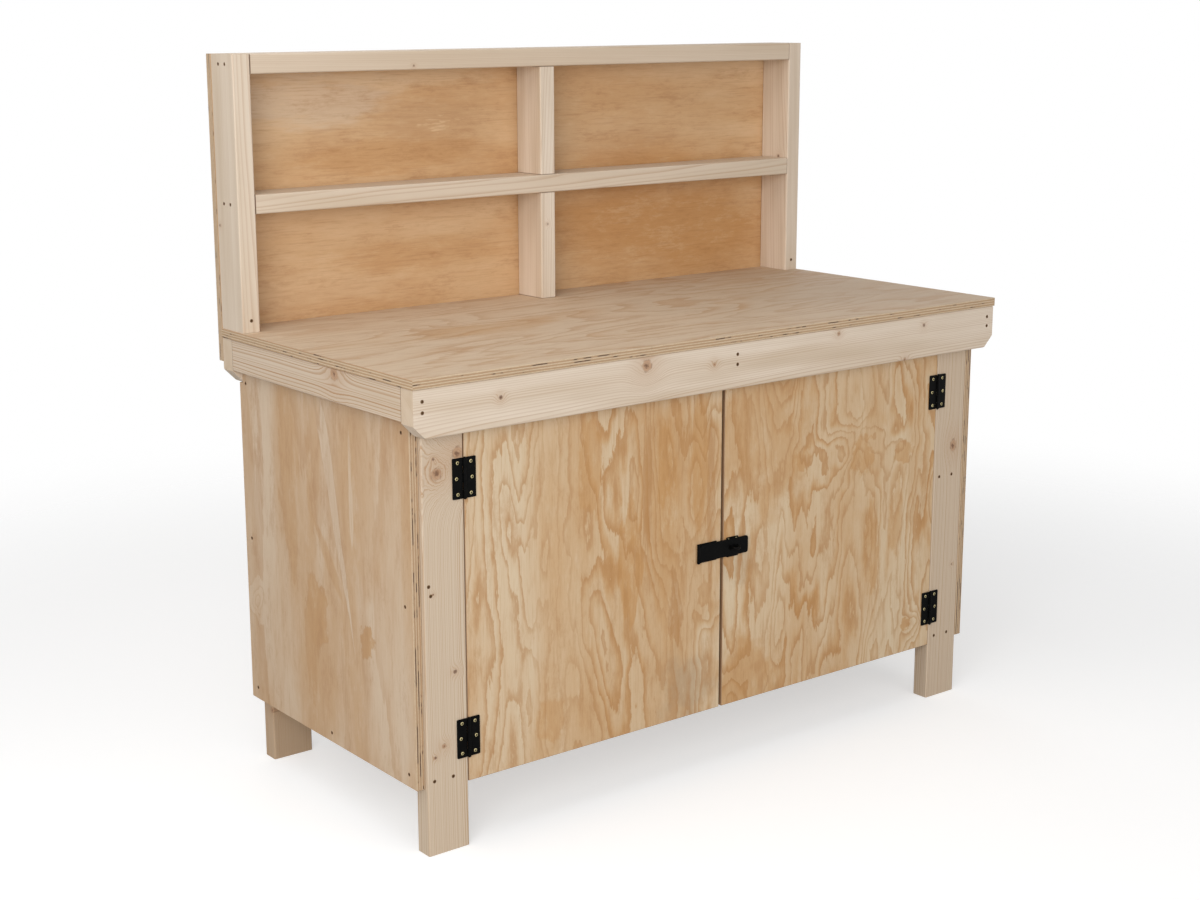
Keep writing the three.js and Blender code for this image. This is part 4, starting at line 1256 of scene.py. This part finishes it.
def camera_turn(stage):
    """Rotation of a camera that looks along the stage's azimuth and elevation."""
    azimuth, elevation, roll = stage.camera_azimuth, stage.camera_elevation, stage.camera_roll
    back = Vector((
        math.sin(azimuth) * math.cos(elevation), -math.cos(azimuth) * math.cos(elevation),
        math.sin(elevation)))
    right = (-back).cross(Vector((0, 0, 1))).normalized()
    up = right.cross(-back)
    rolled_right = math.cos(roll) * right + math.sin(roll) * up
    rolled_up = math.cos(roll) * up - math.sin(roll) * right
    return Matrix((rolled_right, rolled_up, back)).transposed().to_euler()


def add_camera(stage):
    camera = bpy.data.cameras.new("camera")
    camera.sensor_width = SENSOR_WIDTH
    camera.lens = stage.lens
    camera.shift_x, camera.shift_y = stage.camera_shift
    holder = add_object("camera", camera)
    holder.location = stage.camera_place
    holder.rotation_euler = camera_turn(stage)
    bpy.context.scene.camera = holder


def add_lamp(name, place, size, watts):
    lamp = bpy.data.lights.new(name, "AREA")
    lamp.shape = "DISK"
    lamp.size = size
    lamp.energy = watts
    holder = add_object(name, lamp)
    holder.location = place
    holder.rotation_euler = (LAMP_AIM - Vector(place)).to_track_quat("-Z", "Y").to_euler()


def seen_directly(graph):
    """One where the camera, a reflection or a clear pane looks straight at the surface."""
    path = graph.node("ShaderNodeLightPath").outputs
    seen = graph.larger(path["Is Camera Ray"], path["Is Glossy Ray"])
    return graph.larger(seen, path["Is Transmission Ray"])


def studio_world(stage):
    """A white surround whose light on the bench is even and dim."""
    world = bpy.data.worlds.new("studio")
    world.use_nodes = True
    world.node_tree.nodes.clear()
    graph = Graph(world.node_tree)
    strength = graph.step(seen_directly(graph), 0.0, 1.0, stage.sky, 1.0)
    light = graph.node("ShaderNodeBackground", {"Color": WHITE, "Strength": strength})
    graph.node("ShaderNodeOutputWorld", {"Surface": light.outputs[0]})
    bpy.context.scene.world = world


def studio_floor(stage):
    """A pale disc that keeps the bench's shadow and fades into the white surround."""
    mesh = bpy.data.meshes.new("studio_floor")
    turns = [math.tau * step / FLOOR_SIDES for step in range(FLOOR_SIDES)]
    rim = [(FLOOR_RADIUS * math.cos(turn), FLOOR_RADIUS * math.sin(turn), -FLOOR_DROP) for turn in turns]
    mesh.from_pydata(rim, [], [range(FLOOR_SIDES)])
    floor = add_object("studio_floor", mesh)
    material, graph, shader, place = new_material("studio_floor", 0.9)
    shader["Base Color"].default_value = stage.floor
    shader["Specular IOR Level"].default_value = 0.0
    graph.feed(shader["Alpha"], graph.step(graph.distance(place), FADE_START, FADE_END, 1.0, 0.0))
    seen = graph.node("ShaderNodeLightPath").outputs["Is Camera Ray"]
    shader["Emission Color"].default_value = WHITE
    graph.feed(shader["Emission Strength"], graph.times(seen, stage.floor_lift))
    mesh.materials.append(material)


class WORKBENCH_OT_stage(bpy.types.Operator):
    """Set up the pale floor, the soft lamps and the camera"""

    bl_idname = "workbench.stage"
    bl_label = "Stage"

    def execute(self, context):
        stage = context.scene.workbench_stage
        studio_floor(stage)
        studio_world(stage)
        for name, (place, size) in LAMPS.items():
            add_lamp(f"{name}_lamp", place, size, getattr(stage, f"{name}_power"))
        add_camera(stage)
        context.scene.view_settings.view_transform = "Standard"
        return {"FINISHED"}


STEPS = (
    WORKBENCH_OT_timber, WORKBENCH_OT_sheets, WORKBENCH_OT_ironmongery,
    WORKBENCH_OT_screws, WORKBENCH_OT_stage)


class WORKBENCH_PT_panel(bpy.types.Panel):
    """Steps that dress the workbench"""

    bl_idname = "WORKBENCH_PT_panel"
    bl_label = "Workbench"
    bl_space_type = "VIEW_3D"
    bl_region_type = "UI"
    bl_category = "Workbench"

    def draw(self, context):
        for step in STEPS:
            self.layout.operator(step.bl_idname)


SETTINGS = {
    "workbench_timber": TimberSettings,
    "workbench_sheets": SheetSettings,
    "workbench_steel": SteelSettings,
    "workbench_stage": StageSettings,
}


def register():
    for group in SETTINGS.values():
        bpy.utils.register_class(group)
    for name, group in SETTINGS.items():
        setattr(bpy.types.Scene, name, PointerProperty(type=group))
    for step in STEPS:
        bpy.utils.register_class(step)
    bpy.utils.register_class(WORKBENCH_PT_panel)


def unregister():
    bpy.utils.unregister_class(WORKBENCH_PT_panel)
    for step in reversed(STEPS):
        bpy.utils.unregister_class(step)
    for name, group in reversed(SETTINGS.items()):
        delattr(bpy.types.Scene, name)
        bpy.utils.unregister_class(group)


def main():
    register()
    bpy.ops.workbench.timber()
    bpy.ops.workbench.sheets()
    bpy.ops.workbench.ironmongery()
    bpy.ops.workbench.screws()
    bpy.ops.workbench.stage()


if __name__ == "__main__":
    main()
